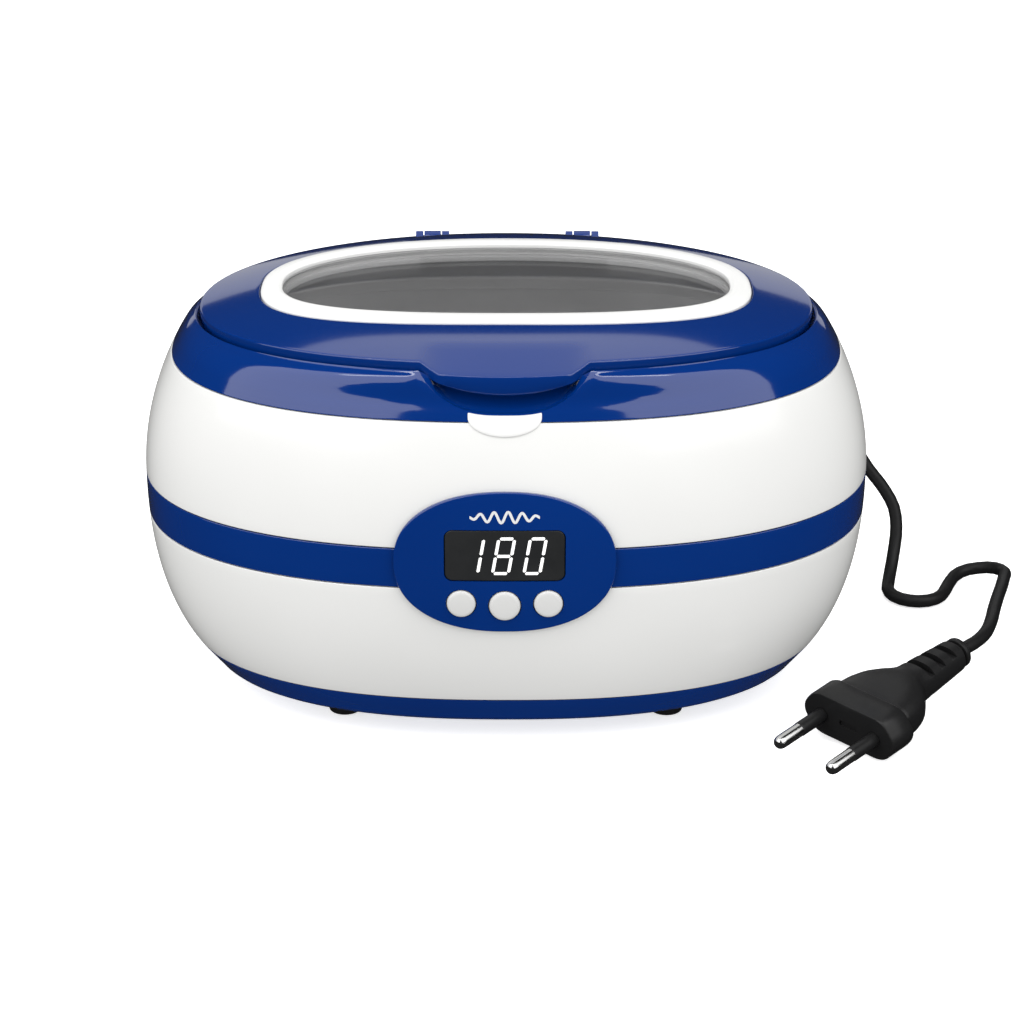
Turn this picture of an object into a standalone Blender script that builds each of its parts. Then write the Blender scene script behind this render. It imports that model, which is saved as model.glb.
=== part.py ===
"""Ultrasonic cleaner with a hinged window lid, a steel tank and a mains lead.

Lengths are written in millimetres and scaled to metres when a mesh is made.
The front faces -Y, X runs along the width, and the feet stand on Z = 0.
"""
import bpy
import bmesh
from math import pi, cos, sin, atan2, radians
from mathutils import Vector, Matrix

MM = 0.001

# Body: a squashed superellipse in plan, widest at the top of the waist stripe.
HALF_WIDTH = 105.0
DEPTH_RATIO = 0.70
BODY_POWER = 2.4
WAIST_Z = 65.0
STRIPE_LOW_Z = 53.3
BASE_LINE_Z = 15.9
BLUE_LINE_Z = 99.8
TRAY_Z = 4.7
WALL = 2.4
JOINT_GAP = 0.15
SEGMENTS = 44

# Lid and rim.
LID_A, LID_B, LID_POWER = 88.0, 62.4, 2.06
RIM_SIDE_Z, RIM_FRONT_Z, RIM_REAR_Z = 110.6, 113.9, 111.8
TONGUE_HALF = 22.8
ROOF_Z = 118.0
DOME_POWER = 3.3
EDGE_RISE = 1.2
LID_WALL = 2.2
RING_Y = 4.0
RING_OUT_A, RING_OUT_B, RING_OUT_POWER = 70.6, 40.7, 2.6
RING_IN_A, RING_IN_B, RING_IN_POWER = 64.5, 33.0, 2.4
PANE_GROW = 0.25
HINGE_X, HINGE_Y, HINGE_Z = 23.0, 66.2, 110.0
KNUCKLE_R, KNUCKLE_HALF = 2.4, 2.5
EAR_IN, EAR_OUT = 2.9, 5.1

# Tank.
TANK_A, TANK_B, TANK_POWER = 77.0, 47.0, 2.6
TANK_Y = 1.0
TANK_RIM_Z, TANK_DEPTH, TANK_SHEET = 102.0, 52.0, 0.8
DECK_Z = 104.2

# Front panel.
PANEL_Z = 61.4
PANEL_A, PANEL_C, PANEL_POWER = 30.4, 20.6, 2.25
# White thumb insert: the middle of its oval, then half width and half height.
INSERT_Z, INSERT_A, INSERT_C = 102.4, 10.1, 6.2
LENS_Z, LENS_W, LENS_H = 64.0, 32.6, 14.6
BUTTON_Z, BUTTON_PITCH = 49.7, 11.9
BUTTON_R, CENTRE_BUTTON_R = 3.95, 4.3

FOOT_XY = (46.5, 38.0)
SCREW_XY = (66.0, 20.0)


# ---------------------------------------------------------------- materials

def make_material(name, colour, roughness, metallic=0.0, alpha=1.0):
    mat = bpy.data.materials.new(name)
    mat.use_nodes = True
    shader = mat.node_tree.nodes["Principled BSDF"]
    shader.inputs["Base Color"].default_value = (*colour, 1.0)
    shader.inputs["Roughness"].default_value = roughness
    shader.inputs["Metallic"].default_value = metallic
    shader.inputs["Alpha"].default_value = alpha
    mat.diffuse_color = (*colour, alpha)
    return mat


def make_materials():
    return {
        "blue_plastic": make_material("blue_plastic", (0.008, 0.045, 0.24), 0.18),
        "white_plastic": make_material("white_plastic", (0.85, 0.85, 0.84), 0.25),
        "smoked_window": make_material("smoked_window", (0.25, 0.25, 0.25), 0.1, 0.0, 0.4),
        "grey_plastic": make_material("grey_plastic", (0.55, 0.55, 0.55), 0.35),
        "display_glass": make_material("display_glass", (0.01, 0.01, 0.012), 0.08),
        "steel": make_material("steel", (0.6, 0.6, 0.6), 0.3, 1.0),
        "plated_pin": make_material("plated_pin", (0.75, 0.75, 0.74), 0.15, 1.0),
        "aluminium": make_material("aluminium", (0.7, 0.7, 0.71), 0.35, 1.0),
        "black_rubber": make_material("black_rubber", (0.015, 0.015, 0.016), 0.6),
        "black_plastic": make_material("black_plastic", (0.02, 0.02, 0.021), 0.45),
        "circuit_board": make_material("circuit_board", (0.02, 0.16, 0.06), 0.5),
        "piezo_ceramic": make_material("piezo_ceramic", (0.55, 0.5, 0.4), 0.5),
        "copper": make_material("copper", (0.75, 0.35, 0.2), 0.3, 1.0),
        "ferrite": make_material("ferrite", (0.08, 0.08, 0.085), 0.6),
    }


# ---------------------------------------------------------------- mesh tools

def add_object(name, bm, mat, smooth_angle=35):
    bmesh.ops.recalc_face_normals(bm, faces=bm.faces)
    mesh = bpy.data.meshes.new(name)
    bm.to_mesh(mesh)
    bm.free()
    mesh.transform(Matrix.Scale(MM, 4))
    mesh.shade_smooth()
    mesh.set_sharp_from_angle(angle=radians(smooth_angle))
    obj = bpy.data.objects.new(name, mesh)
    bpy.context.scene.collection.objects.link(obj)
    if mat:
        mesh.materials.append(mat)
    else:
        obj.hide_render = True
        obj.display_type = "WIRE"
        obj.hide_set(True)
    return obj


def boolean(obj, cutter, operation="DIFFERENCE"):
    mod = obj.modifiers.new(operation.title() + " " + cutter.name, "BOOLEAN")
    mod.operation = operation
    mod.solver = "EXACT"
    mod.object = cutter
    return mod


def superellipse(a, b, power, angle):
    c, s = cos(angle), sin(angle)
    r = (abs(c) ** power + abs(s) ** power) ** (-1.0 / power)
    return a * r * c, b * r * s


def plan_ring(a, b, power, z, centre_y=0.0, segments=SEGMENTS):
    """Points of a level ring; z is a height or a function of x, y and angle."""
    ring = []
    for i in range(segments):
        angle = 2 * pi * i / segments
        x, y = superellipse(a, b, power, angle)
        height = z(x, y + centre_y, angle) if callable(z) else z
        ring.append(Vector((x, y + centre_y, height)))
    return ring


def loft(rings, closed=False):
    """Skin a list of rings; closed joins the last ring to the first."""
    bm = bmesh.new()
    rows = [[bm.verts.new(p) for p in ring] for ring in rings]
    count = len(rows[0])
    pairs = list(zip(rows, rows[1:]))
    if closed:
        pairs.append((rows[-1], rows[0]))
    for low, high in pairs:
        for i in range(count):
            j = (i + 1) % count
            bm.faces.new((low[i], low[j], high[j], high[i]))
    if not closed:
        bm.faces.new(rows[0])
        bm.faces.new(rows[-1])
    return bm


def turned(profile, centre, axis="Z", segments=24):
    """A solid of revolution from (radius, height) pairs along an axis."""
    rings = []
    for radius, height in profile:
        ring = []
        for i in range(segments):
            angle = 2 * pi * i / segments
            u, v = radius * cos(angle), radius * sin(angle)
            local = {"Z": (u, v, height), "Y": (u, height, v), "X": (height, u, v)}[axis]
            ring.append(Vector(centre) + Vector(local))
        rings.append(ring)
    return rings


def cylinder(name, centre, radius, low, high, mat, axis="Z", bevel=0.0, segments=24):
    if bevel:
        profile = [(radius - bevel, low), (radius, low + bevel),
                   (radius, high - bevel), (radius - bevel, high)]
    else:
        profile = [(radius, low), (radius, high)]
    return add_object(name, loft(turned(profile, centre, axis, segments)), mat)


def prism(name, outline, x_low, x_high):
    """A YZ outline pushed along X, used as a cutter."""
    return add_object(name, loft([[Vector((x, y, z)) for y, z in outline] for x in (x_low, x_high)]), None)


def washer(name, centre, inner, outer, low, high, mat, axis="Z", segments=24):
    profile = [(inner, low), (outer, low), (outer, high), (inner, high)]
    return add_object(name, loft(turned(profile, centre, axis, segments), closed=True), mat)


def block_bmesh(low, high):
    bm = bmesh.new()
    bmesh.ops.create_cube(bm, size=1.0)
    low, high = Vector(low), Vector(high)
    for vert in bm.verts:
        vert.co = Vector([low[k] + (high[k] - low[k]) * (vert.co[k] + 0.5) for k in range(3)])
    return bm


def block(name, low, high, mat, bevel=0.0):
    bm = block_bmesh(low, high)
    if bevel:
        bmesh.ops.bevel(bm, geom=bm.edges[:], offset=bevel, segments=2, affect="EDGES")
    return add_object(name, bm, mat)


# ---------------------------------------------------------------- body shape

def half_width(z):
    """Half of the body's width at height z."""
    if z >= WAIST_Z:
        return HALF_WIDTH * (1 - ((z - WAIST_Z) / 82.4) ** 2) ** 0.44
    return HALF_WIDTH * (1 - ((WAIST_Z - z) / 70.0) ** 2.27) ** 0.2


def body_ring(z, inset=0.0):
    a = half_width(z)
    return plan_ring(a - inset, a * DEPTH_RATIO - inset, BODY_POWER, z)


def body_levels(low, high, steps):
    return [low + (high - low) * i / steps for i in range(steps + 1)]


def body_band(name, low, high, steps, mat, lip=0.35):
    """A band of the body wall between two heights with softened outer edges."""
    outer = [body_ring(low, lip)]
    outer += [body_ring(z) for z in body_levels(low + lip, high - lip, steps)]
    outer.append(body_ring(high, lip))
    inner = [body_ring(z, WALL) for z in reversed(body_levels(low, high, steps))]
    return add_object(name, loft(outer + inner, closed=True), mat)


def front_y(x, z):
    """The body's front surface at a given x and z."""
    a = half_width(z)
    b = a * DEPTH_RATIO
    return -b * max(0.0, 1 - abs(x / a) ** BODY_POWER) ** (1 / BODY_POWER)


def front_patch(centre_z, a, c, power, levels, segments=36):
    """Rings of an oval plate that follows the front surface.

    levels holds (scale, proud) pairs: the size of each ring and how far it
    stands in front of the body.
    """
    rings = []
    for scale, proud in levels:
        ring = []
        for i in range(segments):
            x, z = superellipse(a * scale, c * scale, power, 2 * pi * i / segments)
            ring.append(Vector((x, front_y(x, z + centre_z) - proud, z + centre_z)))
        rings.append(ring)
    return rings


def oval_cutter(name, centre_z, a, c, power, near, far, segments=40):
    """A straight oval plug along Y, used to cut an opening."""
    rings = []
    for y in (near, far):
        ring = []
        for i in range(segments):
            x, z = superellipse(a, c, power, 2 * pi * i / segments)
            ring.append(Vector((x, y, z + centre_z)))
        rings.append(ring)
    return add_object(name, loft(rings), None)


def rim_height(angle):
    """Height of the lid's seam, which dips at the two sides."""
    end = RIM_REAR_Z if sin(angle) > 0 else RIM_FRONT_Z
    return RIM_SIDE_Z + (end - RIM_SIDE_Z) * sin(angle) ** 2


def lid_height(x, y):
    """Outer surface of the lid above a point."""
    reach = (abs(x / LID_A) ** LID_POWER + abs(y / LID_B) ** LID_POWER) ** (1 / LID_POWER)
    angle = atan2(y / LID_B, x / LID_A)
    edge = rim_height(angle) + EDGE_RISE
    return edge + (ROOF_Z - edge) * (1 - min(reach, 1.0) ** DOME_POWER)


def tongue_weight(x, y):
    """1 across the front finger tongue, easing to 0 at its shoulders."""
    if y > 0:
        return 0.0
    t = max(0.0, min(1.0, (TONGUE_HALF - abs(x)) / 4.5))
    return t * t * (3 - 2 * t)


def tongue_drop(x, y):
    """How far the tongue hangs below the rim, most at its middle."""
    return tongue_weight(x, y) * (2.2 + max(0.0, 1 - (x / TONGUE_HALF) ** 2))


# ---------------------------------------------------------------- housing

def make_base_tray(mats):
    floor = 2.2
    outer = [plan_ring(66.0, 45.0, BODY_POWER, TRAY_Z),
             plan_ring(74.5, 51.8, BODY_POWER, TRAY_Z + 0.5)]
    outer += [body_ring(z) for z in (7.2, 11.0, BASE_LINE_Z - 0.5)]
    outer.append(body_ring(BASE_LINE_Z - JOINT_GAP, 0.35))
    inner = [body_ring(z, WALL) for z in (BASE_LINE_Z - JOINT_GAP, 11.0, 9.2)]
    inner.append(plan_ring(72.0, 49.0, BODY_POWER, TRAY_Z + floor))
    tray = add_object("base_tray", loft(outer + inner), mats["blue_plastic"])
    # Bosses for the screws and standoffs for the driver board.
    for sx in (-1, 1):
        for sy in (-1, 1):
            x, y = sx * SCREW_XY[0], sy * SCREW_XY[1]
            boss = cylinder(f"cut_boss_{sx}_{sy}", (x, y, 0), 5.2, 5.8, 16.2, None, segments=12)
            boolean(tray, boss, "UNION")
            well = cylinder(f"cut_well_{sx}_{sy}", (x, y, 0), 3.6, 1.0, 12.0, None, segments=12)
            boolean(tray, well)
            hole = cylinder(f"cut_hole_{sx}_{sy}", (x, y, 0), 1.9, 1.0, 18.0, None, segments=8)
            boolean(tray, hole)
    for x in (27.5, 56.5):
        for y in (-27.0, 27.0):
            post = cylinder(f"cut_post_{x:.0f}_{y:.0f}", (x, y, 0), 2.6, 6.0, 10.1, None, segments=8)
            boolean(tray, post, "UNION")
    for i in range(-3, 4):
        slot = block(f"cut_vent_{i}", (i * 7.0 - 1.4, -12.0, 0.0), (i * 7.0 + 1.4, 12.0, 9.2), None)
        boolean(tray, slot)
    # Pockets that hold the feet.
    for sx in (-1, 1):
        for sy in (-1, 1):
            pocket = cylinder(f"cut_foot_{sx}_{sy}", (sx * FOOT_XY[0], sy * FOOT_XY[1], 0),
                              5.3, -1.0, 5.8, None, segments=14)
            boolean(tray, pocket)
    return tray


def make_feet(mats):
    for side, sx in (("left", -1), ("right", 1)):
        for end, sy in (("front", -1), ("rear", 1)):
            profile = [(4.3, 0.0), (4.8, 0.5), (5.0, 5.5)]
            centre = (sx * FOOT_XY[0], sy * FOOT_XY[1], 0)
            add_object(f"foot_{end}_{side}", loft(turned(profile, centre, "Z", 14)),
                       mats["black_rubber"])


def make_base_screws(mats):
    for side, sx in (("left", -1), ("right", 1)):
        for end, sy in (("front", -1), ("rear", 1)):
            profile = [(1.2, 9.4), (2.6, 9.4), (3.0, 9.9), (3.0, 11.7), (1.5, 11.8), (1.5, 19.0),
                       (0.4, 20.5)]
            centre = (sx * SCREW_XY[0], sy * SCREW_XY[1], 0)
            add_object(f"base_screw_{end}_{side}", loft(turned(profile, centre, "Z", 8)),
                       mats["steel"])


def make_lower_shell(mats):
    low, high = BASE_LINE_Z + JOINT_GAP, STRIPE_LOW_Z - JOINT_GAP
    outer = [body_ring(low, 0.35)]
    outer += [body_ring(z) for z in body_levels(low + 0.35, high - 0.35, 5)]
    outer.append(body_ring(high, 0.35))
    inner = [body_ring(z, WALL) for z in (high, 40.0, 30.0, 20.6)]
    flange_top = plan_ring(66.0, 44.0, BODY_POWER, 20.2)
    flange_foot = plan_ring(66.0, 44.0, BODY_POWER, 17.8)
    flange_rim = plan_ring(82.0, 56.0, BODY_POWER, 17.8)
    rings = outer + inner + [flange_top, flange_foot, flange_rim]
    shell = add_object("lower_shell", loft(rings, closed=True), mats["white_plastic"])
    for sx in (-1, 1):
        for sy in (-1, 1):
            hole = cylinder(f"cut_pilot_{sx}_{sy}", (sx * SCREW_XY[0], sy * SCREW_XY[1], 0),
                            1.8, 12.0, 24.0, None, segments=8)
            boolean(shell, hole)
    return shell


def deck_rings():
    """Outer and inner edges of the sloping deck round the tank's mouth."""
    ledge_in = plan_ring(LID_A - 3.0, LID_B - 3.2, LID_POWER, lambda x, y, t: rim_height(t) - 4.9)
    deck_in = plan_ring(TANK_A + 1.2, TANK_B + 1.2, TANK_POWER, DECK_Z, TANK_Y)
    return ledge_in, deck_in


def make_top_housing(mats):
    low = BLUE_LINE_Z + JOINT_GAP
    lip_a, lip_b, lip_power = LID_A + 1.6, LID_B + 1.5, LID_POWER
    outer = [body_ring(low, 0.35)]
    outer += [body_ring(z) for z in body_levels(low + 0.35, 105.0, 2)]
    outer.append(plan_ring(91.8, 65.2, 2.2, lambda x, y, t: rim_height(t) - 3.4))
    outer.append(plan_ring(lip_a + 0.3, lip_b + 0.25, lip_power, lambda x, y, t: rim_height(t) - 1.5))
    outer.append(plan_ring(lip_a - 0.3, lip_b - 0.3, lip_power, lambda x, y, t: rim_height(t) - 1.0))
    step = plan_ring(LID_A + 0.7, LID_B + 0.6, lip_power, lambda x, y, t: rim_height(t) - 1.6)
    ledge_out = plan_ring(LID_A + 0.5, LID_B + 0.4, lip_power, lambda x, y, t: rim_height(t) - 4.6)
    ledge_in, deck_in = deck_rings()
    mouth = plan_ring(TANK_A - 0.2, TANK_B - 0.2, TANK_POWER, 103.6, TANK_Y)
    mouth_foot = plan_ring(TANK_A - 0.2, TANK_B - 0.2, TANK_POWER, 102.5, TANK_Y)
    deck_under = plan_ring(TANK_A + 6.5, TANK_B + 6.5, 2.5, 102.5, TANK_Y * 0.5)
    under = plan_ring(LID_A - 1.0, LID_B - 1.0, 2.35, 103.2)
    inner = [body_ring(low + 1.6, WALL), body_ring(low, WALL)]
    rings = outer + [step, ledge_out, ledge_in, deck_in, mouth, mouth_foot, deck_under, under] + inner
    housing = add_object("top_housing", loft(rings, closed=True), mats["blue_plastic"])

    # Two ears beside each hinge knuckle, drilled for the pin.
    ear = [(62.2, 103.8), (64.4, 103.8), (68.5, 108.2), (68.6, 110.0), (67.9, 111.7), (66.2, 112.4),
           (64.5, 111.7), (62.2, 110.3)]
    for sx in (-1, 1):
        x = sx * HINGE_X
        lug = prism(f"cut_ears_{sx}", ear, x - EAR_OUT, x + EAR_OUT)
        boolean(housing, lug, "UNION")
        notch = block(f"cut_hinge_notch_{sx}", (x - EAR_IN, 60.2, 106.4), (x + EAR_IN, 72.0, 120.0), None)
        boolean(housing, notch)
        hole = cylinder(f"cut_pin_hole_{sx}", (x, HINGE_Y, HINGE_Z), 1.15, -7.0, 7.0, None, "X", 0.0, 10)
        boolean(housing, hole)
    # Finger recess under the lid's tongue: a lined bowl in the front wall.
    envelope = add_object("cut_envelope", loft([body_ring(z, 0.8) for z in (100.6, 103.0, 105.5)]
                          + [plan_ring(91.0, 64.4, 2.35, 109.4), plan_ring(86.0, 60.0, 2.3, 110.0)]),
                          None)
    lining = add_object("cut_lining", ellipsoid((0, -66.5, 112.6), (24.5, 11.0, 13.0)), None)
    boolean(lining, envelope, "INTERSECT")
    boolean(housing, lining, "UNION")
    clearance = block("cut_tongue_room", (-23.4, -76.0, 105.8), (23.4, -57.8, 121.0), None)
    boolean(housing, clearance)
    bowl = add_object("cut_bowl", ellipsoid((0, -67.0, 113.0), (22.0, 8.6, 11.4)), None)
    boolean(housing, bowl)
    return housing


def ellipsoid(centre, radii, rings=10, segments=24):
    bm = bmesh.new()
    bmesh.ops.create_uvsphere(bm, u_segments=segments, v_segments=rings, radius=1.0)
    for vert in bm.verts:
        vert.co = Vector([centre[k] + radii[k] * vert.co[k] for k in range(3)])
    return bm


def make_body(mats):
    make_base_tray(mats)
    make_feet(mats)
    make_base_screws(mats)
    lower = make_lower_shell(mats)
    waist = body_band("waist_band", STRIPE_LOW_Z + JOINT_GAP, WAIST_Z - JOINT_GAP, 2,
                      mats["blue_plastic"])
    upper = body_band("upper_shell", WAIST_Z + JOINT_GAP, BLUE_LINE_Z - JOINT_GAP, 4,
                      mats["white_plastic"])
    housing = make_top_housing(mats)

    # One opening behind the control panel, through the three bands it covers.
    panel_hole = oval_cutter("cut_panel", PANEL_Z, PANEL_A - 1.3, PANEL_C - 1.3, PANEL_POWER, -60.0, -90.0)
    for shell in (lower, waist, upper):
        boolean(shell, panel_hole)

    # The white thumb insert sits in a pocket across the blue and white seam.
    pocket = oval_cutter("cut_insert", INSERT_Z, INSERT_A + 0.3, INSERT_C + 0.3, 2.0, -62.5, -80.0, 32)
    boolean(upper, pocket)
    boolean(housing, pocket)
    insert = add_object("thumb_insert", loft(front_patch(INSERT_Z, INSERT_A, INSERT_C, 2.0,
                        [(0.3, -1.6), (0.7, -1.6), (1, -1.6), (1, 0.0), (0.95, 0.35),
                         (0.7, 0.45), (0.3, 0.5)],
                        32)), mats["white_plastic"])
    scoop = add_object("cut_scoop", ellipsoid((0, -67.0, 113.0), (22.3, 8.9, 11.7)), None)
    boolean(insert, scoop)

    gland_hole = add_object("cut_gland", loft(gland_rings([(3.9, -9.0), (3.9, 9.0)])), None)
    boolean(waist, gland_hole)


# ---------------------------------------------------------------- lid

def blend_ring(outer, inner, t):
    return [a.lerp(b, t) for a, b in zip(outer, inner)]


def on_lid(ring, lift):
    return [Vector((p.x, p.y, lid_height(p.x, p.y) + lift)) for p in ring]


def make_lid(mats):
    edge = plan_ring(LID_A, LID_B, LID_POWER, 0.0)
    window = plan_ring(RING_IN_A + 1.6, RING_IN_B + 1.6, RING_IN_POWER, 0.0, RING_Y)
    seat = plan_ring(RING_OUT_A + 0.4, RING_OUT_B + 0.4, RING_OUT_POWER, 0.0, RING_Y)

    def rim(inset, drop):
        ring = []
        for p in edge:
            weight = tongue_weight(p.x, p.y)
            scale = 1 - inset / LID_A
            y = p.y * (1 - inset / LID_B) - 2.6 * weight
            smile = 0.25 + 1.0 * max(0.0, 1 - (p.x / 21.0) ** 2)
            z = (rim_height(atan2(p.y / LID_B, p.x / LID_A)) - tongue_drop(p.x, p.y)
                 - drop * (1 + (smile - 1) * weight))
            ring.append(Vector((p.x * scale, y, z)))
        return ring

    def top(t, lift):
        ring = blend_ring(edge, seat, t)
        lifted = on_lid(ring, lift)
        for p in lifted:
            fade = max(0.0, 1 - t / 0.45)
            p.z -= tongue_drop(p.x, p.y) * fade
            p.y -= 2.6 * tongue_weight(p.x, p.y) * fade
        return lifted

    outer = [rim(0.5, 3.4), rim(0.0, 2.6), rim(0.0, 0.0), rim(0.3, -0.8)]
    outer += [top(t, 0.0) for t in (0.04, 0.25, 0.5, 0.75, 1.0)]
    # A step that the window frame sits in, then the window opening.
    outer += [on_lid(seat, -1.2), on_lid(window, -1.2), on_lid(window, -3.6)]
    inner = [top(t, -LID_WALL - (1.4 if t == 1.0 else 0.6)) for t in (1.0, 0.6, 0.25)]
    inner += [rim(3.0, 1.9), rim(2.6, 3.4)]
    lid = add_object("lid_shell", loft(outer + inner, closed=True), mats["blue_plastic"])

    # Hinge knuckles at the rear, joined to the lid by a short arm.
    for side, sx in (("left", -1), ("right", 1)):
        x = sx * HINGE_X
        knuckle = cylinder(f"cut_knuckle_{sx}", (x, HINGE_Y, HINGE_Z), KNUCKLE_R, -KNUCKLE_HALF, KNUCKLE_HALF,
                           None, "X", 0.0, 14)
        boolean(lid, knuckle, "UNION")
        arm = block(f"cut_arm_{sx}", (x - KNUCKLE_HALF + 0.02, 57.5, HINGE_Z - 1.4),
                    (x + KNUCKLE_HALF - 0.02, HINGE_Y, HINGE_Z + 1.3), None)
        boolean(lid, arm, "UNION")
        bore = cylinder(f"cut_bore_{sx}", (x, HINGE_Y, HINGE_Z), 1.25, -9.0, 9.0, None, "X", 0.0, 10)
        boolean(lid, bore)
        cylinder(f"hinge_pin_{side}", (x, HINGE_Y, HINGE_Z), 1.0, -4.9, 4.9, mats["steel"], "X", 0.2, 10)

    # The frame: a raised ring with a lip that trims the window's edge.
    out = plan_ring(RING_OUT_A, RING_OUT_B, RING_OUT_POWER, 0.0, RING_Y)
    inn = plan_ring(RING_IN_A, RING_IN_B, RING_IN_POWER, 0.0, RING_Y)
    rings = [on_lid(out, -0.9), on_lid(out, 0.25), on_lid(blend_ring(out, inn, 0.12), 0.65),
             on_lid(blend_ring(out, inn, 0.6), 0.88), on_lid(blend_ring(out, inn, 0.9), 0.55),
             on_lid(inn, 0.1), on_lid(inn, -0.9)]
    add_object("lid_window_frame", loft(rings, closed=True), mats["white_plastic"])

    # The pane sits in a seal that hangs from the lid's opening, under the frame.
    def opening(grow):
        return plan_ring(RING_IN_A + grow, RING_IN_B + grow, RING_IN_POWER, 0.0, RING_Y)

    section = [(0.4, -1.05), (1.45, -1.05), (1.45, -3.75), (3.4, -3.75), (3.4, -4.9), (-0.6, -4.9),
               (-0.6, -3.45), (0.4, -3.45)]
    add_object("window_seal", loft([on_lid(opening(grow), lift) for grow, lift in section], closed=True),
               mats["grey_plastic"])
    middle = [Vector((0, RING_Y, 0))] * SEGMENTS

    def pane_layer(lift):
        level = lid_height(0, RING_Y) + lift
        flat = [Vector((p.x, p.y, level)) for p in blend_ring(middle, opening(PANE_GROW), 0.35)]
        return [flat] + [on_lid(blend_ring(middle, opening(PANE_GROW), t), lift) for t in (0.7, 0.98)]

    edge_top = on_lid(opening(PANE_GROW), -1.5)
    edge_low = on_lid(opening(PANE_GROW), -3.1)
    add_object("lid_window", loft(pane_layer(-1.3) + [edge_top, edge_low] + pane_layer(-3.3)[::-1]),
               mats["smoked_window"])


# ---------------------------------------------------------------- tank

def make_tank(mats):
    def ring(grow, z, power=TANK_POWER):
        return plan_ring(TANK_A + grow, TANK_B + grow, power, z, TANK_Y, 40)

    floor_z = TANK_RIM_Z - TANK_DEPTH
    s = TANK_SHEET
    outside = [ring(-30, floor_z - s), ring(-12.5, floor_z - s), ring(-6.5, floor_z + 1.2),
               ring(-3.8, floor_z + 8.0), ring(-0.4, TANK_RIM_Z - 2.0), ring(0.3, TANK_RIM_Z - s),
               ring(3.6, TANK_RIM_Z - s)]
    inside = [ring(3.6, TANK_RIM_Z), ring(-0.4, TANK_RIM_Z), ring(-1.2, TANK_RIM_Z - 1.6),
              ring(-4.6, floor_z + 8.2), ring(-7.4, floor_z + 1.8), ring(-12.8, floor_z),
              ring(-30, floor_z)]
    add_object("tank", loft(outside + inside), mats["steel"])
    gasket = [ring(0.9, TANK_RIM_Z + 0.12), ring(3.4, TANK_RIM_Z + 0.12),
              ring(3.4, TANK_RIM_Z + 0.36), ring(0.9, TANK_RIM_Z + 0.36)]
    add_object("tank_gasket", loft(gasket, closed=True), mats["black_rubber"])


def make_tank_trim(mats):
    """A steel ring that covers the deck and hangs a collar into the tank's mouth."""
    def ring(grow, z):
        return plan_ring(TANK_A + grow, TANK_B + grow, TANK_POWER, z, TANK_Y)

    def raised(points, lift):
        return [p + Vector((0, 0, lift)) for p in points]

    ledge_in, deck_in = deck_rings()
    outer = blend_ring(ledge_in, deck_in, 0.36)
    rings = [raised(outer, 0.15), raised(deck_in, 0.15), ring(-1.6, DECK_Z - 0.2), ring(-1.6, 100.5),
             ring(-2.3, 100.5), ring(-2.3, DECK_Z + 0.2), ring(-0.4, DECK_Z + 0.7), raised(outer, 0.8)]
    add_object("tank_trim", loft(rings, closed=True), mats["steel"])


def make_transducer(mats):
    gap = 0.12
    top = TANK_RIM_Z - TANK_DEPTH - TANK_SHEET - gap
    mass_low = top - 14.0
    bore_top = mass_low + 9.0
    centre = (0, TANK_Y, 0)
    cone = [(19.0, mass_low), (21.0, top - 5.0), (21.0, top - 0.4), (20.6, top)]
    mass = add_object("transducer_front_mass", loft(turned(cone, centre, "Z", 32)), mats["aluminium"])
    bore = cylinder("cut_transducer_bore", centre, 4.2, mass_low - 6.0, bore_top, None)
    boolean(mass, bore)
    # The stack under it: a ceramic ring, the electrode, a second ring and the back mass.
    z = mass_low - gap
    washer("piezo_ring_upper", centre, 7.0, 19.0, z - 5.0, z, mats["piezo_ceramic"])
    z -= 5.0 + gap
    electrode = washer("electrode_plate", centre, 7.4, 19.3, z - 0.5, z, mats["copper"])
    tab = block("cut_tab", (18.0, TANK_Y - 2.5, z - 0.45), (26.0, TANK_Y + 2.5, z - 0.05), None)
    boolean(electrode, tab, "UNION")
    z -= 0.5 + gap
    washer("piezo_ring_lower", centre, 7.0, 19.0, z - 5.0, z, mats["piezo_ceramic"])
    z -= 5.0 + gap
    washer("transducer_back_mass", centre, 4.2, 19.0, z - 9.0, z, mats["steel"])
    z -= 9.0
    head = [(4.2, z - 5.4), (4.8, z - 4.8), (4.8, z - gap), (3.6, z - gap), (3.6, bore_top - 1.0)]
    add_object("transducer_bolt", loft(turned(head, centre, "Z", 18)), mats["steel"])


# ---------------------------------------------------------------- control panel

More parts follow.
